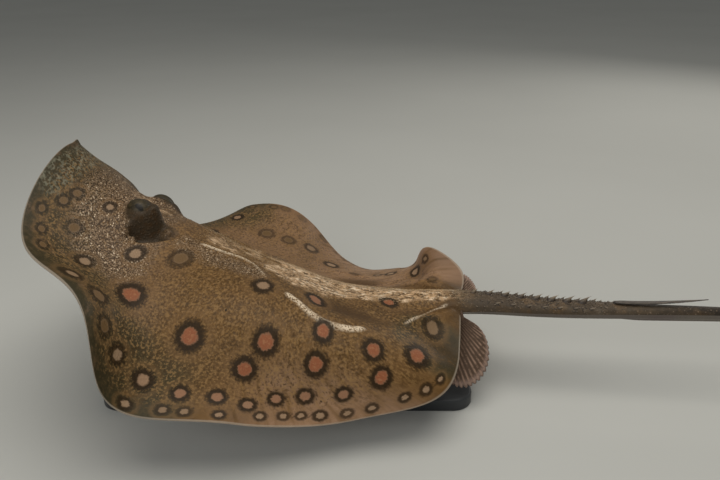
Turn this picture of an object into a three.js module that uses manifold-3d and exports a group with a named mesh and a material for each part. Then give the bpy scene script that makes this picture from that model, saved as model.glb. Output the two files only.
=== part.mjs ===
// An ocellate river stingray, life size: the head lifted, the left wing hanging like a curtain and the
// right wing thrown up in one wave, held over a flat base by two rods. Millimetres, +Z up, head at -X.
//
// The animal is drawn flat first: x runs back from the tip of the snout, y to its right and n up from
// the plane of the fin edge. A pose then bends that flat animal along its backbone and across its wings.
import * as THREE from 'three';
import { mergeVertices } from 'three/addons/utils/BufferGeometryUtils.js';
import Module from 'manifold-3d';

// ---- driving dimensions -------------------------------------------------------------------------
const discWidth = 340;
const frontLength = 0.46 * discWidth;   // snout to the widest line of the disc
const rearLength = 0.60 * discWidth;    // widest line to the rear edge
const discLength = frontLength + rearLength;
const tailEnd = 662;                    // tip of the tail, from the snout
const rimHalf = 0.8;                    // half the thickness of the fin edge
const wingDome = 13, bellyDome = 7, backDome = 22, gutDepth = 5;
const jointGap = 0.32;                  // clearance between neighbouring pieces

const middle = 0.3;                     // the head and trunk are this share of the disc's half width
const snoutEnd = -0.74, headEnd = -0.28;

const hip = { x: 345, at: new THREE.Vector3(-2.3, -22.1, 63.6) };   // backbone point that is placed in space

// ---- pose: angles in degrees at stations along the backbone ---------------------------------------
const stations = [0, 70, 140, 210, 280, 345];
const tailStations = [...stations, 385, 470, 660];
const noseUp = [58, 41, 26, 21, -4, -6, 0, -1.5, 0];
const headAway = [20, 15, 9, 10, 1, 5, 6, 6, 6];
const bodyRoll = [-26, -22, -20, -21, -14, -7];
// slope of each wing 0, 60, 120 and 170 mm out from the backbone, one row per station
const reach = [0, 60, 120, 170];
const leftWing = [[0, -45, -30, -45], [0, -40, 15, -60], [0, -23, -56, -40],
  [0, 0, -76, -15], [0, -3, -83, -25], [0, -35, -80, -50]];
const rightStations = [0, 25, 60, 140, 210, 250, 280, 305, 325, 343, 358];
const rightWing = [[0, -65, 54, -3], [0, -13, 2, 8], [0, -20, 0, -40], [0, 0, 35, 35], [0, 15, 30, 40],
  [0, 13, 8, 14], [0, 6, 0, 2], [0, 5, -4, 0], [0, 10, -18, -10], [0, 39, -60, -20], [0, 22, -40, -20]];
// how far the edge of each wing is drawn back, as a share of half the disc
const leftSweep = [-0.15, 0.2, 0, 0.05, 0, 0.5];
const rightSweep = [0, 0.02, 0.05, 0.05, 0, 0.05, 0.05, 0.05, -0.05, 0, 1.3];
const rowLean = 0.6;                    // wings rise square to the back by this share, upright by the rest

const clamp = THREE.MathUtils.clamp;
const step = (from, to, x) => THREE.MathUtils.smoothstep(x, from, to);
const radians = THREE.MathUtils.degToRad;

// a smooth curve through values at uneven stations, with its ends eased
function smooth(at, values, x) {
  const last = at.length - 1;
  const slope = (i) => (values[i + 1] - values[i]) / (at[i + 1] - at[i]);
  const tangent = (i) => {
    if (i === 0) return slope(0) / 2;
    if (i === last) return slope(last - 1) / 2;
    const before = at[i] - at[i - 1], after = at[i + 1] - at[i];
    return (slope(i - 1) * after + slope(i) * before) / (before + after);
  };
  const xx = clamp(x, at[0], at[last]);
  let i = 0;
  while (i < last - 1 && xx >= at[i + 1]) i++;
  const h = at[i + 1] - at[i], t = (xx - at[i]) / h;
  return (2 * t ** 3 - 3 * t ** 2 + 1) * values[i] + (t ** 3 - 2 * t ** 2 + t) * h * tangent(i)
    + (3 * t ** 2 - 2 * t ** 3) * values[i + 1] + (t ** 3 - t ** 2) * h * tangent(i + 1);
}

// ---- flat animal ----------------------------------------------------------------------------------
// share of the way out to the disc's edge, 1 in the middle and 0 on the edge
const inland = (x, y) => {
  const along = (x - frontLength) / (x < frontLength ? frontLength : rearLength);
  return Math.max(0, 1 - along ** 2 - (2 * y / discWidth) ** 2);
};

// half width of the tail, and its heights above and below the plane of the fin edge
const tailHalf = (x) => smooth([300, 360, 410, 500, 560, 600, tailEnd], [18, 15.5, 12, 7, 4.6, 3.6, 1.2], x);
const tailTop = (x) => smooth([300, 360, 410, 500, 560, 600, tailEnd], [12, 10, 7.6, 5, 4.4, 3.6, 1.2], x);
const tailBottom = (x) => smooth([300, 360, 410, 470, 545, 600, tailEnd], [6, 6, 6.6, 6.8, 6, 4.6, 1.2], x);
// the tail grows from this share of the rear edge, which the bowed rows of the disc shorten by root 2
const tailShare = tailHalf(discLength) / (discWidth / 2 * Math.SQRT1_2);

const bump = (x, y, x0, y0, rx, ry, sharp, turn = 0) => {
  const back = x - x0, out = Math.abs(y) - y0, c = Math.cos(turn), s = Math.sin(turn);
  return Math.exp(-(Math.hypot((back * c + out * s) / rx, (out * c - back * s) / ry) ** sharp));
};

// the eyes are mounds that a ray can draw in: the right one is drawn in a little further than the left
const eyeAt = { x: 86.5, y: 26.5, left: 19.5, right: 17, radius: 9.8 };

function backHeight(x, y) {
  const edge = inland(x, y);
  const along = smooth([0, 30, 60, 90, 120, 180, 230, 265, 300, 345],
    [0, 0.05, 0.16, 0.3, 0.43, 0.42, 0.61, 0.44, 0.26, 0.03], x);
  const breadth = smooth([0, 88, 165, 300, 345], [45, 48, 60, 34, 22], x);
  const body = backDome * along * Math.exp(-((Math.abs(y) / breadth) ** 2.6)) * Math.min(1, edge * 8);
  const orbit = (y < 0 ? 6 : 3.5) * bump(x, y, eyeAt.x, eyeAt.y, 14.5, 12, 3);
  const spiracle = -6 * bump(x, y, eyeAt.x + 15.5, eyeAt.y + 12, 19, 6.5, 3, -0.38);
  const nub = 2.5 * bump(x, y, 0, 0, 6, 4, 2);
  const disc = rimHalf + wingDome * edge ** 0.85 + body + orbit + spiracle + nub;
  return Math.hypot(disc, tailDome(tailTop(x), x, y)) + rearFold(x, y);
}

function bellyDepth(x, y) {
  const gut = gutDepth * step(20, 90, x) * (1 - step(240, 330, x)) * Math.exp(-((Math.abs(y) / 52) ** 2.6));
  const disc = rimHalf + bellyDome * inland(x, y) ** 0.7 + gut;
  return Math.hypot(disc, tailDome(tailBottom(x), x, y)) - rearFold(x, y);
}

// behind the widest part each wing carries a raised fold beside the tail, over a shallow cup
function rearFold(x, y) {
  const out = Math.abs(y);
  const line = smooth([300, 326, 343, 358], [40, 36, 27, 17], x);
  const ends = step(300, 322, x) * (1 - step(352, 361, x));
  const fold = 3.5 * Math.exp(-(((out - line) / 6) ** 2)) * ends;
  const cup = -4.5 * bump(x, y, 333, 56, 19, 15, 2.4) * (1 - step(346, 361, x));
  return fold + cup;
}

// the round of the tail, which fades into the trunk
function tailDome(height, x, y) {
  const across = Math.min(1, Math.abs(y) / tailHalf(x));
  return height * Math.sqrt(1 - across ** 2) * step(270, 350, x);
}

// ---- backbone and pose ------------------------------------------------------------------------------
const stepLength = 3;
const backbone = [];
for (let x = 0; x <= tailEnd + stepLength; x += stepLength) {
  const pitch = radians(smooth(tailStations, noseUp, x)), yaw = radians(smooth(tailStations, headAway, x));
  const roll = radians(smooth(stations, bodyRoll, x)) * (1 - step(345, 420, x));
  const flat = Math.cos(pitch);
  const along = new THREE.Vector3(flat * Math.cos(yaw), -flat * Math.sin(yaw), -Math.sin(pitch));
  const level = new THREE.Vector3(Math.sin(yaw), Math.cos(yaw), 0);
  const above = along.clone().cross(level);
  const across = level.clone().multiplyScalar(Math.cos(roll)).addScaledVector(above, Math.sin(roll));
  above.multiplyScalar(Math.cos(roll)).addScaledVector(level, -Math.sin(roll));
  const upright = new THREE.Vector3(0, 0, 1).addScaledVector(across, -across.z).normalize();
  const up = above.multiplyScalar(rowLean).addScaledVector(upright, 1 - rowLean).normalize();
  const before = backbone.at(-1);
  const at = before ? before.at.clone().addScaledVector(before.along, stepLength / 2)
    .addScaledVector(along, stepLength / 2) : new THREE.Vector3();
  backbone.push({ at, along, across, up });
}
const hipBone = backbone[Math.round(hip.x / stepLength)].at.clone();
backbone.forEach((bone) => bone.at.sub(hipBone).add(hip.at));

function boneAt(x) {
  const i = clamp(Math.floor(x / stepLength), 0, backbone.length - 2), t = x / stepLength - i;
  const mix = (key) => backbone[i][key].clone().lerp(backbone[i + 1][key], t);
  return { at: mix('at'), along: mix('along'), across: mix('across'), up: mix('up') };
}

function wingSlope(x, y) {
  const [at, rows] = y < 0 ? [stations, leftWing] : [rightStations, rightWing];
  const atReach = reach.map((_, k) => smooth(at, rows.map((row) => row[k]), x));
  return radians(smooth4(atReach, Math.abs(y))) * (1 - step(352, 400, x));
}

// the curve across a wing, whose ends keep their full slope
function smooth4(values, y) {
  const slopes = [0, 1, 2].map((i) => (values[i + 1] - values[i]) / (reach[i + 1] - reach[i]));
  const tangents = [slopes[0], (slopes[0] + slopes[1]) / 2,
    (slopes[1] * 50 + slopes[2] * 60) / 110, slopes[2]];
  const yy = Math.min(y, reach[3]);
  const i = yy >= reach[2] ? 2 : yy >= reach[1] ? 1 : 0;
  const h = reach[i + 1] - reach[i], t = (yy - reach[i]) / h;
  return (2 * t ** 3 - 3 * t ** 2 + 1) * values[i] + (t ** 3 - 2 * t ** 2 + t) * h * tangents[i]
    + (3 * t ** 2 - 2 * t ** 3) * values[i + 1] + (t ** 3 - t ** 2) * h * tangents[i + 1];
}

// the place in space of a point (x, y, n) of the flat animal
function pose(x, y, n) {
  const bone = boneAt(x);
  const parts = 16;
  let out = 0, rise = 0;
  for (let k = 0; k < parts; k++) {
    const slope = wingSlope(x, y * (k + 0.5) / parts);
    out += Math.cos(slope) * y / parts;
    rise += Math.sin(slope) * Math.abs(y) / parts;
  }
  const edgeSweep = y < 0 ? smooth(stations, leftSweep, x) : smooth(rightStations, rightSweep, x);
  const sweep = edgeSweep * (1 - step(352, 400, x));
  const back = sweep * (2 * y / discWidth) ** 2 * discWidth / 2;
  const lean = wingSlope(x, y) * (y < 0 ? -1 : 1);
  return bone.at.clone()
    .addScaledVector(bone.across, out - n * Math.sin(lean))
    .addScaledVector(bone.up, rise + n * Math.cos(lean))
    .addScaledVector(bone.along, back);
}

// the disc as a square: a runs back from -1 to 1 and b across, and the square's rim is the fin edge
function discPoint(a, b, face) {
  const along = a * Math.sqrt(1 - b * b / 2), across = b * Math.sqrt(1 - a * a / 2);
  const x = frontLength + along * (along < 0 ? frontLength : rearLength);
  const y = across * discWidth / 2;
  return pose(x, y, face > 0 ? backHeight(x, y) : -bellyDepth(x, y));
}

// the tail carries on from the middle of the rear edge
function tailPoint(s, b, face) {
  const x = frontLength + rearLength * Math.sqrt(1 - b * b / 2) + s;
  const y = tailHalf(x) * b / tailShare;
  return pose(x, y, face > 0 ? backHeight(x, y) : -bellyDepth(x, y));
}

// ---- meshes -----------------------------------------------------------------------------------------
const span = (from, to, parts, ease = (t) => t) =>
  Array.from({ length: parts + 1 }, (_, i) => from + (to - from) * ease(i / parts));
const easeOut = (t) => Math.sin(t * Math.PI / 2);
const easeBoth = (t) => (1 - Math.cos(t * Math.PI)) / 2;
const crowdRear = (t) => 1 - (1 - t) ** 1.3;

// a closed slab over a grid: point(u, v, +1) is its upper face and point(u, v, -1) its lower one
function slab(us, vs, point) {
  const positions = [], index = [];
  const id = (i, j, face) => (face > 0 ? 0 : us.length * vs.length) + i * vs.length + j;
  for (const face of [1, -1]) us.forEach((u) => vs.forEach((v) => positions.push(...point(u, v, face))));
  const quad = (p, q, r, s) => index.push(p, q, r, p, r, s);
  const lastU = us.length - 1, lastV = vs.length - 1;
  for (let i = 0; i < lastU; i++) {
    for (let j = 0; j < lastV; j++) {
      quad(id(i, j, 1), id(i + 1, j, 1), id(i + 1, j + 1, 1), id(i, j + 1, 1));
      quad(id(i, j, -1), id(i, j + 1, -1), id(i + 1, j + 1, -1), id(i + 1, j, -1));
    }
    quad(id(i, 0, 1), id(i, 0, -1), id(i + 1, 0, -1), id(i + 1, 0, 1));
    quad(id(i, lastV, 1), id(i + 1, lastV, 1), id(i + 1, lastV, -1), id(i, lastV, -1));
  }
  for (let j = 0; j < lastV; j++) {
    quad(id(0, j, 1), id(0, j + 1, 1), id(0, j + 1, -1), id(0, j, -1));
    quad(id(lastU, j, 1), id(lastU, j, -1), id(lastU, j + 1, -1), id(lastU, j + 1, 1));
  }
  const geometry = new THREE.BufferGeometry();
  geometry.setAttribute('position', new THREE.Float32BufferAttribute(positions, 3));
  geometry.setIndex(index);
  return geometry;
}

const wasm = await Module();
wasm.setup();

function solidOf(geometry) {
  const bare = geometry.clone();
  bare.deleteAttribute('normal');
  bare.deleteAttribute('uv');
  const merged = mergeVertices(bare, 1e-4);
  return new wasm.Manifold(new wasm.Mesh({
    numProp: 3,
    vertProperties: new Float32Array(merged.attributes.position.array),
    triVerts: new Uint32Array(merged.index.array),
  }));
}

function geometryOf(solid) {
  const { vertProperties, triVerts } = solid.getMesh();
  const geometry = new THREE.BufferGeometry();
  geometry.setAttribute('position', new THREE.BufferAttribute(new Float32Array(vertProperties), 3));
  geometry.setIndex(new THREE.BufferAttribute(new Uint32Array(triVerts), 1));
  return geometry;
}

const model = new THREE.Group();
model.name = 'freshwater_stingray';

function add(name, geometry, color, roughness, metalness = 0) {
  const mesh = new THREE.Mesh(geometry, new THREE.MeshStandardMaterial({ color, roughness, metalness }));
  mesh.name = name;
  model.add(mesh);
  return mesh;
}

const backColor = 0x7a6145, finColor = 0x6b5640, tailColor = 0x3a342c;

// ---- head and trunk ---------------------------------------------------------------------------------
const gapA = jointGap / (frontLength + rearLength);
const middleColumns = (count) => span(-middle, middle, count);
// the trunk's columns crowd toward the middle, where the tail grows out of it
const trunkColumns = [-middle, -0.21, ...span(-tailShare, tailShare, 8, easeBoth), 0.21, middle];

// the rows of a piece stop half a joint short of its neighbours, except at the ends of the disc
const rowsOf = (from, to, count, ease) =>
  span(from === -1 ? -1 : from + gapA, to === 1 ? 1 : to - gapA, count, ease);
const snoutRows = 4, headRows = 12, trunkRows = 18;
const wingRows = [...span(-1, snoutEnd, snoutRows), ...span(snoutEnd, headEnd, headRows).slice(1),
  ...span(headEnd, 1, trunkRows, crowdRear).slice(1)];

function snout() {
  add('snout', slab(rowsOf(-1, snoutEnd, snoutRows), middleColumns(12), discPoint), finColor, 0.5);
}

function head() {
  let solid = solidOf(slab(rowsOf(snoutEnd, headEnd, headRows), middleColumns(18), discPoint));
  for (const side of [-1, 1]) {
    const socket = new THREE.SphereGeometry(eyeAt.radius + jointGap, 14, 10);
    socket.applyMatrix4(eyePlace(side));
    solid = solid.subtract(solidOf(socket));
  }
  add('head', geometryOf(solid), backColor, 0.5);
}

function trunk() {
  return add('trunk', slab(rowsOf(headEnd, 1, trunkRows, crowdRear), trunkColumns, discPoint), backColor, 0.5);
}

// ---- eyes -------------------------------------------------------------------------------------------
function eyePlace(side) {
  const at = pose(eyeAt.x, side * eyeAt.y, side < 0 ? eyeAt.left : eyeAt.right);
  const bone = boneAt(eyeAt.x);
  const frame = new THREE.Matrix4().makeBasis(bone.along, bone.across, bone.along.clone().cross(bone.across));
  const stretch = new THREE.Matrix4().makeScale(1.15, 0.92, 0.95);
  return new THREE.Matrix4().makeTranslation(at).multiply(frame).multiply(stretch);
}

function eye(name, side) {
  const ball = new THREE.SphereGeometry(eyeAt.radius, 14, 10);
  ball.applyMatrix4(eyePlace(side));
  add(name, ball, 0x1d1a14, 0.15);
}

// ---- wings ------------------------------------------------------------------------------------------
const gapB = jointGap / discWidth * 2;

function pectoralFin(name, side) {
  const inner = middle + gapB;
  const columns = side > 0 ? span(inner, 1, 12, easeOut) : span(inner, 1, 12, easeOut).map((b) => -b).reverse();
  add(name, slab(wingRows, columns, discPoint), finColor, 0.5);
}

// ---- pelvic fins: fans that spread from the sides of the tail root ----------------------------------
// the root runs back along the tail, and the margin is an arc of an ellipse round a middle. Each fin
// hangs by its droop at the root and by its curl more at the margin
const pelvic = {
  from: 342, to: 361, gap: 1.8, frontLevel: -7.5, rearLevel: -3.5,
  left: { middle: 361, long: 20, out: 27, broad: 24, start: 118, end: -62, droop: -52, curl: -10 },
  right: { middle: 361, long: 13, out: 12, broad: 19, start: 112, end: -30, droop: 14, curl: 16 },
};

function pelvicFin(name, side) {
  const fan = side < 0 ? pelvic.left : pelvic.right;
  const point = (out, turn, face) => {
    // turn 0 is the leading edge, which points sideways, and 1 the trailing edge beside the tail
    const x = pelvic.from + (pelvic.to - pelvic.from) * turn;
    const angle = radians(fan.start + (fan.end - fan.start) * turn);
    const along = (fan.middle + fan.long * Math.cos(angle) - x) * out;
    const lateral = (fan.out + fan.broad * Math.sin(angle)) * out;
    const root = tailHalf(x) + pelvic.gap;
    const level = pelvic.frontLevel + (pelvic.rearLevel - pelvic.frontLevel) * turn;
    const slope = radians(fan.droop + fan.curl * out);
    const half = (1.5 - 0.8 * out) * face;
    const bone = boneAt(x);
    return bone.at.clone()
      .addScaledVector(bone.along, along)
      .addScaledVector(bone.across, side * (root + lateral * Math.cos(slope) - half * Math.sin(slope)))
      .addScaledVector(bone.up, level + lateral * Math.sin(slope) + half * Math.cos(slope));
  };
  const turns = side > 0 ? span(0, 1, 12) : span(1, 0, 12);
  add(name, slab(span(1, 0, 7), turns, point), finColor, 0.5);
}

// ---- tail with its thorns ---------------------------------------------------------------------------
const tailColumns = span(-tailShare, tailShare, 8, easeBoth);

// a thorn leans back from the skin: a four-sided spike whose foot is sunk into the tail
function thorn(x, side, height) {
  const y = side * tailHalf(x) * 0.8;
  const foot = pose(x, y, backHeight(x, y) - 1.2);
  const spike = new THREE.ConeGeometry(height * 0.42, height + 1.2, 5);
  spike.translate(0, (height + 1.2) / 2, 0);
  const bone = boneAt(x);
  const aim = bone.up.clone().addScaledVector(bone.along, 0.75).addScaledVector(bone.across, side * 0.9);
  spike.applyQuaternion(new THREE.Quaternion().setFromUnitVectors(new THREE.Vector3(0, 1, 0), aim.normalize()));
  spike.translate(foot.x, foot.y, foot.z);
  return spike;
}

function tailLength(name, from, to, rows, spikes) {
  let solid = solidOf(slab(span(from - discLength + jointGap, to - discLength, rows), tailColumns, tailPoint));
  for (const { x, side, height } of spikes) solid = solid.add(solidOf(thorn(x, side, height)));
  add(name, geometryOf(solid), tailColor, 0.55);
}

// ---- sting: a flat barbed blade that lies along the top of the tail ---------------------------------
const sting = { from: 480, to: 551, half: 2.8, thick: 2.2, lift: 6 };

function stingBlade() {
  const point = (t, across, face) => {
    const x = sting.from + (sting.to - sting.from) * t;
    const half = sting.half * (1 - t ** 3) + 0.3;
    const height = backHeight(x, 0) + 0.4 + sting.lift * t ** 2;
    const thick = (sting.thick * (1 - 0.6 * t) * (1 - 0.5 * across ** 2)) * (face + 1) / 2;
    const bone = boneAt(x);
    return bone.at.clone().addScaledVector(bone.across, across * half).addScaledVector(bone.up, height + thick);
  };
  add('sting', slab(span(0, 1, 12), [-1, -0.5, 0, 0.5, 1], point), 0x8a7c66, 0.4);
}

// ---- stand ------------------------------------------------------------------------------------------
const base = { x: -125.4, y: -3.2, length: 290, width: 150, thick: 10, corner: 16 };
const rod = { radius: 4, places: [[-188.4, 8.8], [-40.4, -5.2]] };

function standBase() {
  const shape = new THREE.Shape();
  const w = base.length / 2, d = base.width / 2, r = base.corner;
  shape.absarc(w - r, d - r, r, 0, Math.PI / 2);
  shape.absarc(r - w, d - r, r, Math.PI / 2, Math.PI);
  shape.absarc(r - w, r - d, r, Math.PI, 1.5 * Math.PI);
  shape.absarc(w - r, r - d, r, 1.5 * Math.PI, 2 * Math.PI);
  const plate = new THREE.ExtrudeGeometry(shape, { depth: base.thick, bevelEnabled: false, curveSegments: 6 });
  const mesh = add('stand_base', plate, 0x26282a, 0.4, 0.2);
  mesh.position.set(base.x, base.y, 0);
}

// a rod whose top is cut to the slope of the belly that it carries
function standRod(name, [x, y], body) {
  const foot = base.thick + jointGap;
  const sides = 12;
  const ray = new THREE.Raycaster();
  const belly = (px, py) => {
    ray.set(new THREE.Vector3(px, py, 0), new THREE.Vector3(0, 0, 1));
    return ray.intersectObject(body)[0].point.z - jointGap;
  };
  const geometry = new THREE.CylinderGeometry(rod.radius, rod.radius, 1, sides, 1);
  geometry.rotateX(Math.PI / 2);
  const points = geometry.attributes.position;
  for (let i = 0; i < points.count; i++) {
    const px = x + points.getX(i), py = y + points.getY(i);
    points.setXYZ(i, px, py, points.getZ(i) > 0 ? belly(px, py) : foot);
  }
  add(name, geometry, 0x9a9c9e, 0.3, 1);
}

// ---- the whole animal -------------------------------------------------------------------------------
snout();
head();
const body = trunk();
eye('eye_left', -1);
eye('eye_right', 1);
pectoralFin('pectoral_fin_left', -1);
pectoralFin('pectoral_fin_right', 1);
pelvicFin('pelvic_fin_left', -1);
pelvicFin('pelvic_fin_right', 1);

// the tail is parted into three lengths, and each length carries the thorns that stand on it
const tailBreaks = [discLength, 448, 560, tailEnd - 2];
const ridge = { count: 8, from: 370, gap: 12.3, height: 4, growth: 0.25 };
const flank = { count: 7, from: 388, gap: 12.3, stagger: 4, height: 3 };
const thorns = [];
for (let k = 0; k < ridge.count; k++) {
  thorns.push({ x: ridge.from + ridge.gap * k, side: 0, height: ridge.height + ridge.growth * k });
}
for (let k = 0; k < flank.count; k++) {
  const x = flank.from + flank.gap * k;
  thorns.push({ x, side: -1, height: flank.height }, { x: x + flank.stagger, side: 1, height: flank.height });
}
['tail_base', 'tail_middle', 'tail_tip'].forEach((name, i) => {
  const own = thorns.filter(({ x }) => x > tailBreaks[i] && x < tailBreaks[i + 1]);
  tailLength(name, tailBreaks[i], tailBreaks[i + 1], 10, own);
});
stingBlade();

standBase();
standRod('stand_rod_front', rod.places[0], body);
standRod('stand_rod_rear', rod.places[1], body);

export default model;
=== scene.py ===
# An ocellate river stingray, life size, as a still display model on a plate with two rods.
# The animal is drawn flat in millimetres first: x runs back from the tip of the snout, y to its right
# and n up from the plane of the fin edge. The pose then bends it along its backbone and across its
# wings. Meshes are in metres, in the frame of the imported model.
import math
import bpy
import numpy as np
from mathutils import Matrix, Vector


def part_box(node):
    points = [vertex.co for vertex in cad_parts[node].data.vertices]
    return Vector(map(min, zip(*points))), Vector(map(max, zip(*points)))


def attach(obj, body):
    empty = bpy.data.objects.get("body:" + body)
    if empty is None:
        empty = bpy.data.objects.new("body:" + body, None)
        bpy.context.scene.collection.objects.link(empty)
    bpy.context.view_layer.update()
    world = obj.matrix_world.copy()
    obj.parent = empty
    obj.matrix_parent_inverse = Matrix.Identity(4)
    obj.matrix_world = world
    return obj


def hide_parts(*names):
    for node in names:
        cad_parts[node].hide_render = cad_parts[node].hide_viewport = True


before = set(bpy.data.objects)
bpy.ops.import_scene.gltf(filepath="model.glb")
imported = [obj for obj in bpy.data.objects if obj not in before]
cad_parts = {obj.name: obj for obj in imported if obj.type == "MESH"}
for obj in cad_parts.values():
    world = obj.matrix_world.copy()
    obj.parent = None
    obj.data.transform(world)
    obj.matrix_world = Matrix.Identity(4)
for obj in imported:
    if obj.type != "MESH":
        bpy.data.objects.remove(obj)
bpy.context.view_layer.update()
mm = 0.001

camera = {"at": (-0.0682, -0.5415, 0.3366), "tilt": 67.38, "lens": 36.0, "sensor": 36.0}


# a camera on the animal's left that looks down at it
def makeCamera():
    data = bpy.data.cameras.new("camera")
    data.lens = camera["lens"]
    data.sensor_width = camera["sensor"]
    data.clip_start = 0.01
    thing = bpy.data.objects.new("camera", data)
    thing.location = camera["at"]
    thing.rotation_euler = (math.radians(camera["tilt"]), 0, 0)
    bpy.context.scene.collection.objects.link(thing)
    bpy.context.scene.camera = thing


# the cubic from one value to the next over a step, with its slope at each end; t goes from 0 to 1
def cubic(t, step, first, firstSlope, last, lastSlope):
    return ((2 * t**3 - 3 * t**2 + 1) * first + (t**3 - 2 * t**2 + t) * step * firstSlope
            + (3 * t**2 - 2 * t**3) * last + (t**3 - t**2) * step * lastSlope)


# a smooth curve through values at uneven stations, with its ends eased
def smoothThrough(at, values, x):
    at = np.asarray(at, float)
    values = np.asarray(values, float)
    steps = np.diff(at)
    slopes = np.diff(values) / steps
    inner = (slopes[:-1] * steps[1:] + slopes[1:] * steps[:-1]) / (steps[:-1] + steps[1:])
    tangents = np.concatenate([slopes[:1] / 2, inner, slopes[-1:] / 2])
    x = np.clip(x, at[0], at[-1])
    i = np.clip(np.searchsorted(at, x, side="right") - 1, 0, len(at) - 2)
    t = (x - at[i]) / steps[i]
    return cubic(t, steps[i], values[i], tangents[i], values[i + 1], tangents[i + 1])


# eases from 0 at start to 1 at end
def smoothStep(start, end, x):
    t = np.clip((x - start) / (end - start), 0, 1)
    return t * t * (3 - 2 * t)


# vectors brought to length 1
def unit(v):
    return v / np.linalg.norm(v, axis=-1, keepdims=True)


body = {
    "width": 340, "front": 156.4, "rear": 204, "tailEnd": 662,
    "rim": 0.8, "wing": 13, "belly": 7, "gut": 5, "back": 22,      # heights off the fin plane
    "rimRound": 0.016,      # share of the way in over which the edge is rounded
    "wingFade": (352, 400),     # where the wings' own bend dies out along the tail
    # the raised trunk: how much of the back's height it has, and its half width, at stations
    "trunk": ([0, 30, 60, 90, 120, 180, 230, 265, 300, 345],
              [0, 0.05, 0.16, 0.3, 0.43, 0.42, 0.61, 0.44, 0.26, 0.03]),
    "breadth": ([0, 88, 165, 300, 345], [45, 48, 60, 34, 22]),
    "mouth": 71, "gills": 5, "vent": 316, "rayMiddle": 150,
}
length = body["front"] + body["rear"]
halfWidth = body["width"] / 2

# how the animal is bent: degrees at stations along the backbone, and up from level across each wing,
# with a row for each station and a column for each reach. Sweep draws a wing's edge back, as a share of
# its half width. The backbone's station hip lies at hipAt, and rowLean is the share of the backbone's
# slope that each row of the animal leans with
bend = {
    "stations": [0, 70, 140, 210, 280, 345],
    "tailStations": [0, 70, 140, 210, 280, 345, 385, 470, 660],
    "noseUp": [58, 41, 26, 21, -4, -6, 0, -1.5, 0],
    "headAway": [20, 15, 9, 10, 1, 5, 6, 6, 6],
    "roll": [-26, -22, -20, -21, -14, -7],
    "reach": [0, 60, 120, 170],
    "leftWing": [[0, -45, -30, -45], [0, -40, 15, -60], [0, -23, -56, -40],
                 [0, 0, -76, -15], [0, -3, -83, -25], [0, -35, -80, -50]],
    "leftSweep": [-0.15, 0.2, 0, 0.05, 0, 0.5],
    "rightStations": [0, 25, 60, 140, 210, 250, 280, 305, 325, 343, 358],
    "rightWing": [[0, -65, 54, -3], [0, -13, 2, 8], [0, -20, 0, -40], [0, 0, 35, 35], [0, 15, 30, 40],
                  [0, 13, 8, 14], [0, 6, 0, 2], [0, 5, -4, 0], [0, 10, -18, -10], [0, 39, -60, -20],
                  [0, 22, -40, -20]],
    "rightSweep": [0, 0.02, 0.05, 0.05, 0, 0.05, 0.05, 0.05, -0.05, 0, 1.3],
    "rowLean": 0.6, "hip": 345, "hipAt": (-2.3, -22.1, 63.6), "step": 0.5,
}


# the backbone is a chain of short straight steps, each with its own direction, side and up
def layBackbone():
    x = np.arange(0, body["tailEnd"] + 6, bend["step"])
    pitch = np.radians(smoothThrough(bend["tailStations"], bend["noseUp"], x))
    yaw = np.radians(smoothThrough(bend["tailStations"], bend["headAway"], x))
    roll = np.radians(smoothThrough(bend["stations"], bend["roll"], x)) * (1 - smoothStep(345, 420, x))
    along = np.stack([np.cos(pitch) * np.cos(yaw), -np.cos(pitch) * np.sin(yaw), -np.sin(pitch)], 1)
    level = np.stack([np.sin(yaw), np.cos(yaw), 0 * yaw], 1)
    above = np.cross(along, level)
    cosine, sine = np.cos(roll)[:, None], np.sin(roll)[:, None]
    across = level * cosine + above * sine
    above = above * cosine - level * sine
    upright = unit(np.array([0, 0, 1.0]) - across * across[:, 2:])
    up = unit(above * bend["rowLean"] + upright * (1 - bend["rowLean"]))
    at = np.zeros_like(along)
    at[1:] = np.cumsum((along[1:] + along[:-1]) / 2 * bend["step"], 0)
    at += np.array(bend["hipAt"]) - at[int(bend["hip"] / bend["step"])]
    return {"x": x, "at": at, "along": along, "across": across, "up": up}


backbone = layBackbone()


# the backbone's place and directions at stations, between its steps
def boneAt(x):
    def mix(key):
        return np.stack([np.interp(x, backbone["x"], backbone[key][:, k]) for k in range(3)], -1)
    return mix("at"), mix("along"), mix("across"), mix("up")


# how much of the wings' own bend there is: all of it on the disc, none on the tail
def wingShare(x):
    return 1 - smoothStep(*body["wingFade"], x)


# slope of a wing at a place: a curve across the wing through the slopes at its four reaches
def wingSlope(x, y):
    def pick(table, k):
        return np.take_along_axis(table, k[..., None], -1)[..., 0]
    reach = bend["reach"]
    steps = np.diff(reach)
    out = np.minimum(np.abs(y), reach[-1])
    i = np.clip(np.searchsorted(reach, out, side="right") - 1, 0, 2)
    t = (out - np.take(reach, i)) / steps[i]
    slopeOf = {}
    for side, stations in (("leftWing", "stations"), ("rightWing", "rightStations")):
        rows = np.array(bend[side], float)
        at = np.stack([smoothThrough(bend[stations], rows[:, k], x) for k in range(4)], -1)
        slopes = np.diff(at, axis=-1) / steps
        inner = (slopes[..., :-1] * steps[1:] + slopes[..., 1:] * steps[:-1]) / (steps[:-1] + steps[1:])
        tangents = np.concatenate([slopes[..., :1], inner, slopes[..., -1:]], -1)
        ends = [pick(table, k) for k in (i, i + 1) for table in (at, tangents)]
        slopeOf[side] = cubic(t, steps[i], *ends)
    slope = np.where(y < 0, slopeOf["leftWing"], slopeOf["rightWing"])
    return np.radians(slope) * wingShare(x)


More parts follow.
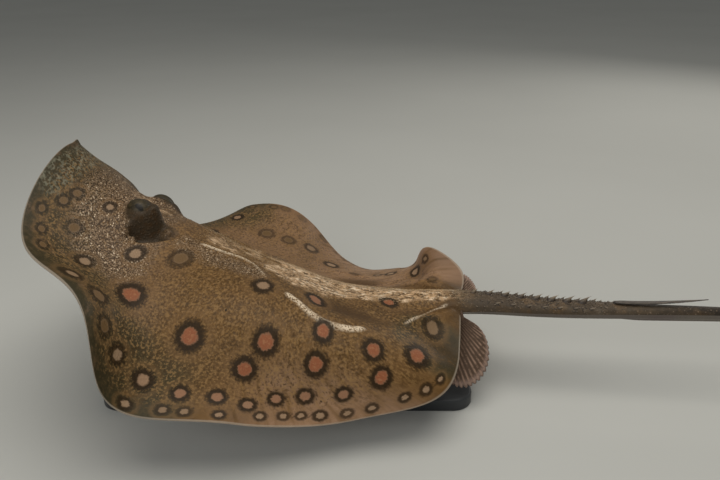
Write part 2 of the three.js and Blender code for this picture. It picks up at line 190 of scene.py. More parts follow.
# the place in space, in millimetres, of points x, y, n of the flat animal
def pose(x, y, n):
    x, y, n = np.broadcast_arrays(np.asarray(x, float), y, n)
    at, along, across, up = boneAt(x)
    parts = 16
    out, rise = np.zeros(x.shape), np.zeros(x.shape)
    for k in range(parts):
        slope = wingSlope(x, y * (k + 0.5) / parts)
        out += np.cos(slope) * y / parts
        rise += np.sin(slope) * np.abs(y) / parts
    sweep = np.where(y < 0, smoothThrough(bend["stations"], bend["leftSweep"], x),
                     smoothThrough(bend["rightStations"], bend["rightSweep"], x))
    back = sweep * wingShare(x) * (y / halfWidth) ** 2 * halfWidth
    lean = wingSlope(x, y) * np.where(y < 0, -1, 1)
    return (at + across * (out - n * np.sin(lean))[..., None]
            + up * (rise + n * np.cos(lean))[..., None] + along * back[..., None])


# how far back from the disc's widest part, 1 at its front and rear ends
def fromWidest(x):
    return (x - body["front"]) / np.where(x < body["front"], body["front"], body["rear"])


# share of the way in from the disc's edge, 0 on the edge and 1 in the middle
def inland(x, y):
    return np.maximum(0, 1 - fromWidest(x) ** 2 - (y / halfWidth) ** 2)


# about how far in from the disc's edge, in millimetres
def fromRim(x, y):
    return (1 - np.hypot(fromWidest(x), y / halfWidth)) * halfWidth


tail = {
    "at": [300, 360, 410, 500, 560, 600, 662],
    "half": [18, 15.5, 12, 7, 4.6, 3.6, 1.2],
    "top": [12, 10, 7.6, 5, 4.4, 3.6, 1.2],
    "bottomAt": [300, 360, 410, 470, 545, 600, 662],
    "bottom": [6, 6, 6.6, 6.8, 6, 4.6, 1.2],
    "rise": (270, 350),     # where its round comes out of the trunk
    "tip": 659, "tipLong": 3.2,
    # the thin folds of skin over and under it: height, half thickness, and where they start and end
    "overFold": (1.1, 0.9, 566, 580), "underFold": (2.2, 1.0, 470, 505), "foldEnd": (636, 655),
}


# half width of the tail
def tailHalf(x):
    return smoothThrough(tail["at"], tail["half"], x)


# the tail grows from this share of the rear edge, which the bowed rows of the disc shorten by root 2
tailShare = float(tailHalf(length)) / (halfWidth * math.sqrt(0.5))


# the round of the tail: an ellipse across it that fades into the trunk
def tailDome(height, x, y):
    across = np.clip(np.abs(y) / tailHalf(x), 0, 1)
    return height * np.sqrt(1 - across**2) * smoothStep(*tail["rise"], x)


# a fold of skin along the tail's midline: a sharp crest that eases in and out
def tailFold(x, y, height, half, start, full):
    crestLine = height * np.exp(-((y / half) ** 2))
    return crestLine * smoothStep(start, full, x) * (1 - smoothStep(*tail["foldEnd"], x))


# a round hill of height 1: it falls off with the distance from its middle, and a higher power gives
# it a flatter top and steeper sides
def bump(x, y, x0, y0, rx, ry, sharp=2.0, turn=0.0):
    dx, dy = x - x0, np.abs(y) - y0
    u = dx * math.cos(turn) + dy * math.sin(turn)
    v = dy * math.cos(turn) - dx * math.sin(turn)
    return np.exp(-(np.hypot(u / rx, v / ry) ** sharp))


# a long low ridge of height 1 beside the midline, which runs through stations and fades at its ends
def crest(x, y, at, out, width, fade=12.0):
    middle = smoothThrough(at, out, x)
    ends = smoothStep(at[0], at[0] + fade, x) * (1 - smoothStep(at[-1] - fade, at[-1], x))
    return np.exp(-(((np.abs(y) - middle) / width) ** 2)) * ends


# the eyes are mounds that a ray can draw in: the right one is drawn in a little further than the left.
# Left and right are the heights of the eyeballs' middles off the fin plane
eye = {"x": 86.5, "y": 26.5, "left": 19.5, "right": 17.0, "radius": 9.8, "stretch": (1.15, 0.92, 0.95)}
spiracle = {"x": 102, "y": 38.5, "rx": 20, "ry": 6.8, "turn": -0.38, "deep": 9}
# pale lumps beside the spiracle: two ahead of it and one behind
lumps = [(85, 45), (92, 46), (114, 31.5)]


# rounded edge of the disc: half thickness 0 on the rim, full thickness a few millimetres in
def rimPart(edge):
    t = np.clip(edge / body["rimRound"], 0, 1)
    return body["rim"] * np.sqrt(t * (2 - t))


# ridges and hollows that run back beside the midline, as stations and distances out from it
folds = {
    "ridge": ([138, 150, 163, 171, 180, 188, 197, 208], [33, 33, 33, 32, 33, 38, 50, 62]),
    "flank": ([218, 232, 247, 258, 272, 288], [68, 72, 78, 80, 78, 72]),
    "hollow": ([236, 258, 273, 288, 300, 322], [62, 54, 50, 46, 44, 43]),
    "lobe": ([308, 325, 338, 354], [46, 36, 21, 13]),
    "crease": ([138, 155, 178], [2, 3, 5]),
    "spine": ([110, 352], [0, 0]),
    "rear": ([300, 326, 343, 358], [40, 36, 27, 17]),
    "grainy": ([112, 145, 190, 215], [34, 42, 50, 56]),
    "underLobe": ([296, 322, 345, 362], [32, 29, 17, 14]),
    # half width of the pale band down the middle of the back: partly sandy skin, partly painted highlight
    # for the sheen along the ridge
    "band": ([110, 150, 190, 205, 222, 238, 256, 270, 292, 312, 335, 362],
             [22, 33, 38, 48, 50, 50, 44, 34, 24, 20, 14, 11]),
}


# behind its widest part each wing carries a raised fold beside the tail, over a shallow cup
def rearFold(x, y):
    line = smoothThrough(*folds["rear"], x)
    ends = smoothStep(300, 322, x) * (1 - smoothStep(352, 361, x))
    fold = 3.5 * np.exp(-(((np.abs(y) - line) / 6) ** 2)) * ends
    cup = -4.5 * bump(x, y, 333, 56, 19, 15, 2.4) * (1 - smoothStep(346, 361, x))
    return fold + cup


# height of the back over the fin plane: the wing's dome, the raised body, the mounds of the eyes,
# the spiracles behind them, the crests that run back to the tail, and the tail's own round
def backHeight(x, y):
    edge = inland(x, y)
    breadth = smoothThrough(*body["breadth"], x)
    trunk = body["back"] * smoothThrough(*body["trunk"], x) * np.exp(-((np.abs(y) / breadth) ** 2.6))
    trunk = trunk * np.minimum(1, edge * 8)
    orbit = np.where(y < 0, 9.5, 5.5) * bump(x, y, eye["x"] + 1, eye["y"], 13.5, 11.5, 4)
    lid = 1.0 * bump(x, y, eye["x"] - 1, eye["y"] - 7.5, 11, 4, 2.4)
    lid = lid + np.where(y < 0, 7, 3) * bump(x, y, eye["x"] + 13, eye["y"] + 1, 7, 7, 2.6)
    s = spiracle
    pocket = -s["deep"] * bump(x, y, s["x"], s["y"], s["rx"], s["ry"], 4, s["turn"])
    wall = 1.2 * (bump(x, y, s["x"], s["y"], s["rx"] * 1.3, s["ry"] * 1.5, 6, s["turn"])
                  - bump(x, y, s["x"], s["y"], s["rx"] * 1.08, s["ry"] * 1.12, 6, s["turn"]))
    knobs = 7 * bump(x, y, *lumps[0], 3.6, 2.8, 2.6) + 6.5 * bump(x, y, *lumps[1], 3.2, 2.6, 2.6)
    knobs = knobs + 7 * bump(x, y, *lumps[2], 4.5, 3, 2.6)
    nub = 3 * bump(x, y, 0, 0, 6, 3.5, 2)
    between = -1.5 * bump(x, y, eye["x"] + 2, 0, 30, 15, 3)
    spine = 1.3 * crest(x, y, *folds["spine"], 4.5, 30)
    shoulder = 1.8 * crest(x, y, *folds["ridge"], 2.4, 10) - 0.9 * crest(x, y, *folds["crease"], 1.4, 8)
    groove = -2.4 * crest(x, y, *folds["hollow"], 9, 16)
    fold = 1.8 * crest(x, y, *folds["flank"], 2.4, 8) + 1.4 * crest(x, y, *folds["lobe"], 3, 8)
    plane = rimPart(edge) + body["wing"] * edge**0.85 + trunk + orbit + lid + pocket + wall
    plane = plane + knobs + nub + between * np.minimum(1, edge * 4) + spine + shoulder + groove + fold
    dome = tailDome(smoothThrough(tail["at"], tail["top"], x), x, y)
    return np.hypot(plane, dome) + tailFold(x, y, *tail["overFold"]) + rearFold(x, y)


# depth of the belly under the fin plane, with the mouth, nostrils, gill slits and vent let into it
def bellyDepth(x, y):
    edge = inland(x, y)
    along = smoothStep(20, 90, x) * (1 - smoothStep(240, 330, x))
    plane = rimPart(edge) + body["belly"] * edge**0.7
    plane = plane + body["gut"] * along * np.exp(-((np.abs(y) / 52) ** 2.6))
    mouthLine = body["mouth"] + 0.012 * y**2
    lips = 1.6 * np.exp(-(((x - mouthLine) / 5.5) ** 2)) * np.exp(-((np.abs(y) / 17) ** 6))
    slit = -3.4 * np.exp(-(((x - mouthLine) / 1.5) ** 2)) * np.exp(-((np.abs(y) / 14) ** 8))
    flap = 1.5 * bump(x, y, 60, 0, 5.5, 13, 4)
    nostril = -3 * bump(x, y, 56.5, 14.5, 2.6, 4.6, 3, 0.5)
    gills = 0
    for share in np.linspace(0, 1, body["gills"]):
        back, out, turn = 112 + 48 * share, 50 - 17 * share, 0.35 - 0.7 * share
        gills = gills - 1.8 * bump(x, y, back, out, 1.0, 6.5 - share, 3, turn)
        gills = gills + 0.7 * bump(x, y, back + 3.5, out, 3.0, 8 - share, 3, turn)
    vent = -2.5 * bump(x, y, body["vent"], 0, 7, 1.3, 3) + 1.2 * bump(x, y, body["vent"], 0, 12, 5, 3)
    plane = plane + lips + slit + flap + nostril + gills + vent
    dome = tailDome(smoothThrough(tail["bottomAt"], tail["bottom"], x), x, y)
    return np.hypot(plane, dome) + tailFold(x, y, *tail["underFold"]) - rearFold(x, y)


# the markings, as (back, out, radius, warmth) on each side. Warmth is 1 for the salmon of the big
# eye-spots, 0 for the buff of the small ones, and -1 for a dull one, barely paler than its skin
spots = {
    "left": [(166, 110, 11, 1), (112, 96, 12, 1), (218, 105, 10, 1), (207, 124, 9.5, 1), (255, 107, 9, 0.9),
             (257, 86, 8.5, 0.9), (289, 86, 9, 0.9), (292, 101, 8, 0.8), (316, 75, 10, 0.8),
             (304, 21, 8, 0.8), (247, 55, 9, 0.4), (204, 68, 9, 0), (135, 54, 10, -0.45),
             (335, 41, 8, -0.35), (272, 120, 6, 0.3), (251, 130, 6.5, 0.3), (232, 139, 6, 0.3),
             (213, 149, 5.5, 0.2),
             (194, 148, 6.5, 0.3), (172, 150, 6.5, 0.3), (146, 145, 8, 0.1), (123, 139, 7.5, -0.2),
             (102, 136, 8, -0.5), (87, 122, 9.5, -0.4), (65, 117, 8, -0.2), (67, 86, 8, -0.2)],
    "right": [(172, 116, 9, -0.5), (194, 116, 8, -0.5), (217, 119, 8.5, -0.3), (242, 100, 9, -0.1),
              (302, 80, 6.5, -0.1), (325, 67, 7, 0), (339, 33, 5.5, -0.5), (337, 66, 4.5, -0.3),
              (290, 84, 5, -0.3), (118, 100, 10.5, 0.5), (268, 84, 7, -0.4), (137, 66, 8, -0.9),
              (88, 118, 8, 0), (66, 86, 8, -0.2), (134, 138, 7, 0.1), (98, 140, 6.5, -0.3)],
    "head": [(100, 58, 8, -0.1), (50, 64, 7.5, -0.6), (33, 54, 6, -0.45), (36, 43, 6, -0.45),
             (63, 34, 5.5, -0.2), (26, 72, 4.5, -0.6), (35, 84, 4.5, -0.5), (41, 95, 4.5, -0.5),
             (102, 8, 5, -0.8)],
    # the row along each rim: stations, how far in, radius, warmth, and how far drawn out along the rim
    "rim": [141, 165, 178, 198, 223, 238, 249, 260, 274, 286, 302, 314, 325],
    "rimInset": 6.0, "rimRadius": 4.2, "rimWarmth": {"left": -0.1, "right": -0.6},
    "rimStretch": 0.4, "stretchFade": (8, 26),
}


# every eye-spot: middle, radius, warmth, which way the rim runs, and how far it is drawn out that way.
# The small ones stand in a row along each rim, and one that would run into a bigger one is left out
def placeSpots():
    rng = np.random.default_rng(7)
    placed = []
    for side, name in ((-1, "left"), (1, "right")):
        rows = np.array(spots[name] + spots["head"], float)
        rows[:, :2] += rng.normal(0, 0.6, (len(rows), 2))
        at = np.array(spots["rim"], float)
        inset = spots["rimInset"] + rng.uniform(-1.0, 1.0, len(at))
        reach = np.where(at < body["front"], body["front"], body["rear"]) - inset
        out = (halfWidth - inset) * np.sqrt(1 - ((at - body["front"]) / reach) ** 2)
        radius = spots["rimRadius"] * rng.uniform(0.85, 1.1, len(at))
        warmth = spots["rimWarmth"][name] + rng.uniform(-0.2, 0.1, len(at))
        rim = np.stack([at, out, radius, warmth], 1)
        apart = np.hypot(rim[:, None, 0] - rows[None, :, 0], rim[:, None, 1] - rows[None, :, 1])
        rim = rim[(apart > rows[None, :, 2] + rim[:, None, 2] - 1).all(1)]
        rows = np.concatenate([rows, rim])
        rows[:, 1] *= side
        placed.append(rows)
    rows = np.concatenate(placed)
    x, y = rows[:, 0], rows[:, 1]
    alongRim = np.arctan2(fromWidest(x), -y / halfWidth)
    near = 1 - smoothStep(*spots["stretchFade"], fromRim(x, y))
    return np.column_stack([rows, alongRim, 1 + spots["rimStretch"] * near])


eyeSpots = placeSpots()


# for each point: its distance from the nearest eye-spot's middle, in radii, and that spot's warmth.
# The distance is measured along the posed wing, so a spot stays round where the wing is drawn out
def nearestSpot(x, y):
    best = np.full(x.shape, 9.0)
    warmth = np.zeros(x.shape)
    for x0, y0, radius, warm, alongRim, stretch in eyeSpots:
        here = pose(np.array([x0, x0 + 1, x0]), np.array([y0, y0, y0 + 1]), np.zeros(3))
        perX, perY = here[1] - here[0], here[2] - here[0]
        offset = (x - x0)[:, None] * perX + (y - y0)[:, None] * perY
        along = offset @ unit(perX * math.cos(alongRim) + perY * math.sin(alongRim))
        across = np.sqrt(np.maximum(0, (offset**2).sum(1) - along**2))
        away = np.hypot(along / stretch, across) / radius
        warmth = np.where(away < best, warm, warmth)
        best = np.minimum(best, away)
    return best, warmth


# steps from start to end, with both ends kept
def span(start, end, count):
    return np.linspace(start, end, count + 1)


# rows and columns of the disc: closer over the head, across the tail's root and at the rim
def discLines():
    rimSteps = np.array([0, 0.0006, 0.0024, 0.006, 0.012])
    rows = np.concatenate([-1 + rimSteps, span(-0.98, -0.72, 20), span(-0.72, -0.24, 76)[1:],
                           span(-0.24, 0.97, 98)[1:], 1 - rimSteps[::-1][:-1] * 0.9, [1.0]])
    rows = np.unique(np.round(rows, 6))
    half = tailShare
    root = half * np.sin(span(-90, 90, 36) * math.pi / 180)
    outer = np.concatenate([span(half, 0.38, 28)[1:], span(0.38, 0.98, 46)[1:], 1 - rimSteps[::-1]])
    outer = np.unique(np.round(outer, 6))
    return rows, np.concatenate([-outer[::-1], root, outer]), root


# the disc as a square: a runs back and b across, each row and column bowed so that the square's rim
# lies on two half ellipses
def discPlace(a, b):
    along, across = a * np.sqrt(1 - b * b / 2), b * np.sqrt(1 - a * a / 2)
    x = body["front"] + along * np.where(along < 0, body["front"], body["rear"])
    return x, across * halfWidth


# one smooth patch of faces over an index grid, wound so that rows x columns points up
def patch(index, up=True):
    quads = np.stack([index[:-1, :-1], index[1:, :-1], index[1:, 1:], index[:-1, 1:]], -1).reshape(-1, 4)
    return quads if up else quads[:, ::-1]


# a smooth mesh object from points in millimetres and faces
def makePiece(name, points, faces):
    mesh = bpy.data.meshes.new(name)
    mesh.from_pydata((points * mm).tolist(), [], faces)
    mesh.polygons.foreach_set("use_smooth", np.full(len(mesh.polygons), True))
    mesh.update()
    thing = bpy.data.objects.new(name, mesh)
    bpy.context.scene.collection.objects.link(thing)
    return thing


# the faces without their repeated corners, and without those that shrink to a line
def dropRepeats(faces):
    same = (faces == np.roll(faces, 1, 1)).any(1)
    kept = faces[~same].tolist()
    for face in faces[same].tolist():
        short = list(dict.fromkeys(face))
        if len(short) > 2:
            kept.append(short)
    return kept


# which points the faces use, and the faces numbered over those points alone
def usedOnly(faces):
    used = np.unique(np.concatenate([np.ravel(face) for face in faces]))
    place = {int(k): i for i, k in enumerate(used)}
    return used, [[place[k] for k in face] for face in faces]


# an index grid whose first column comes again at its end, so that it closes round
def roundGrid(rows, columns):
    index = np.arange(rows * columns).reshape(rows, columns)
    return np.hstack([index, index[:, :1]])


# a solid from rings of points one over another: sides between them, and a cap at each end
def stackRings(name, rings):
    index = roundGrid(len(rings), len(rings[0]))
    caps = [index[-1, :-1].tolist(), index[0, :-1][::-1].tolist()]
    return makePiece(name, np.concatenate(rings), patch(index, False).tolist() + caps)


# gives every point of a piece numbers or vectors, under the names that its material reads
def giveValues(piece, **values):
    for name, value in values.items():
        kind, part = ("FLOAT_VECTOR", "vector") if value.ndim == 2 else ("FLOAT", "value")
        attribute = piece.data.attributes.new(name, kind, "POINT")
        attribute.data.foreach_set(part, value.astype(np.float32).ravel())


# gives every corner of a piece its place on the unwrap
def giveUnwrap(piece, place):
    uv = piece.data.uv_layers.new(name="OFBake")
    uv.data.foreach_set("uv", place.astype(np.float32).ravel())


# which point each corner of a piece's faces stands on
def cornerPoints(piece):
    corners = np.zeros(len(piece.data.loops), np.int32)
    piece.data.loops.foreach_get("vertex_index", corners)
    return corners


# -1 is the left fin and 1 the right one
pelvic = {
    "from": 342, "to": 361, "middle": 361, "gap": 1.8, "frontLevel": -7.5, "rearLevel": -3.5,
    "sink": 4.5, "ribs": 17,
    -1: {"long": 20, "out": 27, "broad": 24, "start": 118, "end": -62, "droop": -52, "curl": -10},
    1: {"long": 13, "out": 12, "broad": 19, "start": 112, "end": -30, "droop": 14, "curl": 16},
}


# one pelvic fin: its root runs back along the side of the tail, and its margin is an arc of an ellipse.
# turn goes round from the leading edge (0) to the edge beside the tail (1), out from the root (0) to
# the scalloped margin (1). Ribs stand up between thin webs, and the root is sunk into the body
def pelvicPoint(turn, out, face, side):
    fan = pelvic[side]
    rootX = pelvic["from"] + (pelvic["to"] - pelvic["from"]) * turn
    angle = np.radians(fan["start"] + (fan["end"] - fan["start"]) * turn)
    rib = np.cos(turn * pelvic["ribs"] * 2 * math.pi)
    reach = out * (1 + 0.035 * np.abs(np.cos(turn * pelvic["ribs"] * math.pi)) * smoothStep(0.7, 1, out))
    along = (pelvic["middle"] + fan["long"] * np.cos(angle) - rootX) * reach
    lateral = (fan["out"] + fan["broad"] * np.sin(angle)) * reach
    bone, forward, across, up = boneAt(rootX)
    sunk = pelvic["sink"] * (1 - smoothStep(0, 0.2, out))
    root = tailHalf(rootX) + pelvic["gap"] - sunk
    level = pelvic["frontLevel"] + (pelvic["rearLevel"] - pelvic["frontLevel"]) * turn + sunk
    wave = 1.8 * np.sin(turn * 2.3 * math.pi + 0.6) * out**2
    slope = np.radians(fan["droop"] + fan["curl"] * out)
    edge = np.sqrt(np.clip(1 - ((out - 0.93) / 0.07) ** 2 * (out > 0.93), 0, 1))
    aside = np.abs(turn - 0.5)
    border = np.sqrt(np.clip(1 - ((aside - 0.47) / 0.03) ** 2 * (aside > 0.47), 0, 1))
    half = (1.7 - 1.1 * out) * (1 + 0.3 * rib * smoothStep(0.05, 0.3, out)) * edge * border * face
    place = (bone + forward * along[..., None]
             + across * (side * (root + lateral * np.cos(slope) - (half + wave) * np.sin(slope)))[..., None]
             + up * (level + lateral * np.sin(slope) + (half + wave) * np.cos(slope))[..., None])
    flat = np.stack([rootX + along, side * (root + lateral), half], -1)
    return place, flat


unwrapSide = 700


# where a point of the flat animal lies on the unwrap, whose side is 700 mm: the back in the left half
# and the belly in the right one. The tail is opened out to its girth so that its sides have room
def unwrap(flat, under):
    x, y = flat[..., 0], flat[..., 1]
    half = tailHalf(x)
    share = np.clip(y / half, -1, 1)
    girth = np.where(np.abs(y) <= half, half * np.arcsin(share), y + np.sign(y) * half * (math.pi / 2 - 1))
    opened = y + (girth - y) * smoothStep(*tail["rise"], x)
    return np.stack([0.25 + opened / unwrapSide + 0.5 * under, 0.02 + x / unwrapSide], -1)


# the whole skin: the back and belly of the disc share their rim, the tail carries on from the middle
# of the rear edge, and each pelvic fin is a closed fan whose root is sunk in the tail
def makeSkin():
    rows, columns, root = discLines()
    a, b = np.meshgrid(rows, columns, indexing="ij")
    x, y = discPlace(a, b)
    xs, ys = x.ravel(), y.ravel()
    top, low = backHeight(xs, ys), -bellyDepth(xs, ys)
    count = x.size
    back = np.arange(count).reshape(x.shape)
    belly = back + count
    first = int(np.argmin(np.abs(columns - root[0])))
    last = first + len(root) - 1
    belly[0], belly[:, 0], belly[:, -1] = back[0], back[:, 0], back[:, -1]
    belly[-1, :first + 1], belly[-1, last:] = back[-1, :first + 1], back[-1, last:]
    flats = [np.stack([xs, ys, top], 1), np.stack([xs, ys, low], 1)]

    steps = np.concatenate([span(0, 245, 122)[1:], span(245, 299, 36)[1:], [300.4, 301.2, 301.6]])
    s, v = np.meshgrid(steps, root, indexing="ij")
    tx = body["front"] + body["rear"] * (1 + (np.sqrt(1 - v * v / 2) - 1) * (1 - smoothStep(0, 30, s))) + s
    ty = tailHalf(tx) * v / tailShare
    tipRound = np.sqrt(np.clip(1 - ((tx - tail["tip"]) / tail["tipLong"]) ** 2 * (tx > tail["tip"]), 0, 1))
    ty = ty * tipRound
    txs, tys = tx.ravel(), ty.ravel()
    across = (v / tailShare).ravel()
    scale = tipRound.ravel()
    tailUp = backHeight(txs, across * tailHalf(txs)) * scale
    tailLow = -bellyDepth(txs, across * tailHalf(txs)) * scale
    flats += [np.stack([txs, tys, tailUp], 1), np.stack([txs, tys, tailLow], 1)]
    size = tx.size
    tailBack = np.vstack([back[-1, first:last + 1], np.arange(size).reshape(tx.shape) + 2 * count])
    tailBelly = np.vstack([belly[-1, first:last + 1], tailBack[1:] + size])
    tailBelly[:, 0], tailBelly[:, -1] = tailBack[:, 0], tailBack[:, -1]
    tailBack[-1] = tailBack[-1, 0]
    tailBelly[-1] = tailBack[-1, 0]
    flat = np.concatenate(flats)
    points = pose(flat[:, 0], flat[:, 1], flat[:, 2])
    under = np.concatenate([np.zeros(count), np.ones(count), np.zeros(size), np.ones(size)])

    sheets = [(patch(back), 0), (patch(belly, False), 1),
              (patch(tailBack), 0), (patch(tailBelly, False), 1)]
    start = len(flat)
    fan, rib = np.zeros(start), np.zeros(start)
    for side in (-1, 1):
        turn, out = np.meshgrid(span(0, 1, pelvic["ribs"] * 4), span(0, 1, 26) ** 0.9, indexing="ij")
        for face in (1, -1):
            place, own = pelvicPoint(turn, out, face, side)
            points = np.concatenate([points, place.reshape(-1, 3)])
            flat = np.concatenate([flat, own.reshape(-1, 3)])
            under = np.concatenate([under, np.full(turn.size, float(face < 0))])
            fan = np.concatenate([fan, (0.02 + out).ravel()])
            ribbed = 0.5 + 0.5 * np.cos(turn * pelvic["ribs"] * 2 * math.pi)
            rib = np.concatenate([rib, ribbed.ravel()])
        upper = np.arange(turn.size).reshape(turn.shape) + start
        lower = upper + turn.size
        lower[0], lower[-1], lower[:, -1] = upper[0], upper[-1], upper[:, -1]
        sheets += [(patch(upper, side < 0), 2), (patch(lower, side > 0), 3)]
        root = np.stack([upper[:-1, 0], lower[:-1, 0], lower[1:, 0], upper[1:, 0]], 1)
        sheets.append((root[:, ::side], 3))
        start += 2 * turn.size

    faces, sheetOf = [], []
    for quads, sheet in sheets:
        own = dropRepeats(quads)
        faces += own
        sheetOf += [sheet] * len(own)
    used, faces = usedOnly(faces)
    skin = makePiece("skin", points[used], faces)
    flat, under, fan, rib = flat[used], under[used], fan[used], rib[used]

    # unwrap, sheet by sheet, with the pelvic fans moved clear of the disc
    corners = cornerPoints(skin)
    sizes = np.array([len(face) for face in faces])
    sheet = np.repeat(np.array(sheetOf), sizes)
    place = unwrap(flat[corners], (sheet % 2).astype(float))
    fanSide = np.sign(flat[corners, 1])
    place[sheet > 1] += np.stack([fanSide * 0.03, np.full(len(fanSide), 0.06)], 1)[sheet > 1]
    giveUnwrap(skin, place)

    giveMarks(skin, flat, under, fan)
    giveValues(skin, rib=rib)
    print("skin:", len(skin.data.vertices), "points,", int((sizes - 2).sum()), "triangles")
    return skin


# what the skin's material reads at each point of the flat animal: where it lies, the nearest eye-spot,
# how far in from the rim it is, and how strongly each kind of shading shows there
def giveMarks(piece, flat, under, fan):
    x, y = flat[:, 0], flat[:, 1]
    out = np.abs(y)
    onBack = (fan == 0) & (under < 0.5)
    spot, warmth = nearestSpot(x, y)
    inset = np.maximum(0, fromRim(x, y))
    inset = np.where(x < length - 2, inset, 30)
    inset = np.where(fan > 0, (1.02 - fan) * 45, inset)
    across = np.clip(out / halfWidth, 0, 1)
    # a pale band down the middle of the back: partly sandy granular skin, partly painted highlight for the
    # sheen and sparkle of light along the ridge
    sandAndSheen = (1 - smoothStep(0.6, 1.25, out / smoothThrough(*folds["band"], x))) * smoothStep(115, 160, x)
    sandAndSheen = sandAndSheen * (0.5 + 0.5 * smoothStep(195, 222, x)) * (1 - 0.3 * smoothStep(296, 330, x))
    sandyBrow = smoothStep(30, 80, x) * (1 - smoothStep(98, 130, x)) * (1 - smoothStep(8, 34, out))
    sandAndSheen = np.maximum(sandAndSheen, 0.45 * sandyBrow)
    # olive skin along the front edges and over the snout, with painted shade laid into it: the band is
    # heavier on the left wing, and the cup behind the left wing gets a dark olive painted shade
    oliveAndShade = (1 - smoothStep(22, 70, inset)) * (1 - smoothStep(120, 200, x)) * np.where(y < 0, 1.15, 0.75)
    oliveAndShade = np.maximum(oliveAndShade, np.where(y < 0, 0.95, 0.1) * bump(x, y, 330, 58, 26, 26, 4))
    oliveAndShade = np.maximum(oliveAndShade, 1.05 * (1 - smoothStep(22, 62, x)) * (1 - smoothStep(40, 90, out)))
    net = (1 - smoothStep(22, 34, x)) * smoothStep(3, 8, x) * (1 - smoothStep(50, 70, out))
    grain = (1 - smoothStep(95, 135, x)) * (1 - smoothStep(70, 110, out)) * smoothStep(14, 52, inset)
    grain = np.maximum(grain, 0.5 * sandAndSheen)
    grain = np.maximum(grain, 0.8 * crest(x, y, *folds["grainy"], 16, 20))
    grain = np.maximum(grain, 0.35 * smoothStep(4, 25, inset) * (1 - 0.5 * smoothStep(110, 160, out)))
    # painted highlight: pale lines along the crests of the folds beside the midline, full on the left side
    # and faint on the right, for the wet shine on them
    crease = np.maximum(0.7 * crest(x, y, *folds["ridge"], 2.2, 10), crest(x, y, *folds["flank"], 2.6, 8))
    crease = np.maximum(crease, 0.6 * crest(x, y, *folds["lobe"], 1.6, 8)) * np.where(y < 0, 1, 0.15)
    shade = np.maximum(0.95 * bump(x, y, 272, 54, 27, 14, 3), 0.6 * crest(x, y, *folds["crease"], 1.2, 8))
    shade = np.maximum(shade, 0.6 * crest(x, y, *folds["underLobe"], 5, 12))
    shade = np.maximum(shade, 0.55 * bump(x, y, 334, 60, 20, 18, 3))
    # the wings' own warm pinkish tone together with painted light: paler on the far right wing and towards
    # the rear of both wings, where the lamp falls
    rosyAndLit = smoothStep(14, 50, y) * smoothStep(95, 150, x)
    rosyAndLit = rosyAndLit * (0.5 + 0.6 * smoothStep(215, 290, x))
    rosyAndLit = np.maximum(rosyAndLit, 0.85 * smoothStep(170, 260, x) * smoothStep(0.5, 0.8, across))
    s = spiracle
    # the dark olive skin of the eye mounds, with painted shade in the sunken spiracle pockets behind them
    # and in the skin between, lighter at the pale lumps
    dark = bump(x, y, eye["x"] + 0.5, eye["y"] + 1.5, 13, 11, 8)
    dark = np.maximum(dark, bump(x, y, s["x"] - 1, s["y"] - 2, 22, 10, 6, s["turn"]))
    dark = np.maximum(dark, bump(x, y, eye["x"] + 11, eye["y"] + 2, 9, 9, 6))
    pale = bump(x, y, *lumps[0], 4, 3.2, 3) + bump(x, y, *lumps[1], 3.4, 2.8, 3)
    pale = pale + 0.7 * bump(x, y, *lumps[2], 5, 3.4, 3)
    dark = dark * (1 - 0.8 * np.clip(pale, 0, 1))
    # the fin rays fan out from the disc's middle: streaks are fine round the fan and long outwards
    ahead = body["rayMiddle"] - x
    rays = np.stack([np.arctan2(out, ahead) * 90, np.hypot(out, ahead) * 0.1, np.sign(y) * 40], 1)
    spot = np.where((fan > 0) | (x > body["wingFade"][0]), 9.0, spot)
    tailShade = np.where(fan > 0, 0.3, smoothStep(330, 385, x))
    giveValues(piece, flat=flat * mm, rays=rays * mm, spot=spot, warmth=warmth, inset=inset, under=under,
               fan=fan, tail=tailShade)
    marks = {"sandAndSheen": sandAndSheen, "oliveAndShade": oliveAndShade, "grain": grain, "crease": crease, "shade": shade, "rosyAndLit": rosyAndLit,
             "dark": dark, "net": net}
    giveValues(piece, **{name: np.where(onBack, values, 0) for name, values in marks.items()})


# an sRGB hex colour as linear light
def linear(code):
    parts = [int(code[k:k + 2], 16) / 255 for k in (0, 2, 4)]
    return [c / 12.92 if c <= 0.04045 else ((c + 0.055) / 1.055) ** 2.4 for c in parts] + [1.0]


# fills a node's inputs: each is a value, a hex colour, or another node's output to link from
def setInputs(tree, node, inputs):
    for key, value in inputs.items():
        if isinstance(value, bpy.types.NodeSocket):
            tree.links.new(value, node.inputs[key])
        else:
            node.inputs[key].default_value = linear(value) if isinstance(value, str) else value


# adds a node with its settings and links, and gives one of its outputs
def addNode(tree, kind, inputs, output=0, **settings):
    node = tree.nodes.new(kind)
    for key, value in settings.items():
        setattr(node, key, value)
    setInputs(tree, node, inputs)
    return node.outputs[output]


# an empty material: one surface, wired to the output
def newMaterial(name):
    material = bpy.data.materials.new(name)
    material.use_nodes = True
    tree = material.node_tree
    tree.nodes.clear()
    surface = tree.nodes.new("ShaderNodeBsdfPrincipled")
    output = tree.nodes.new("ShaderNodeOutputMaterial")
    tree.links.new(surface.outputs[0], output.inputs[0])
    return material, tree, surface


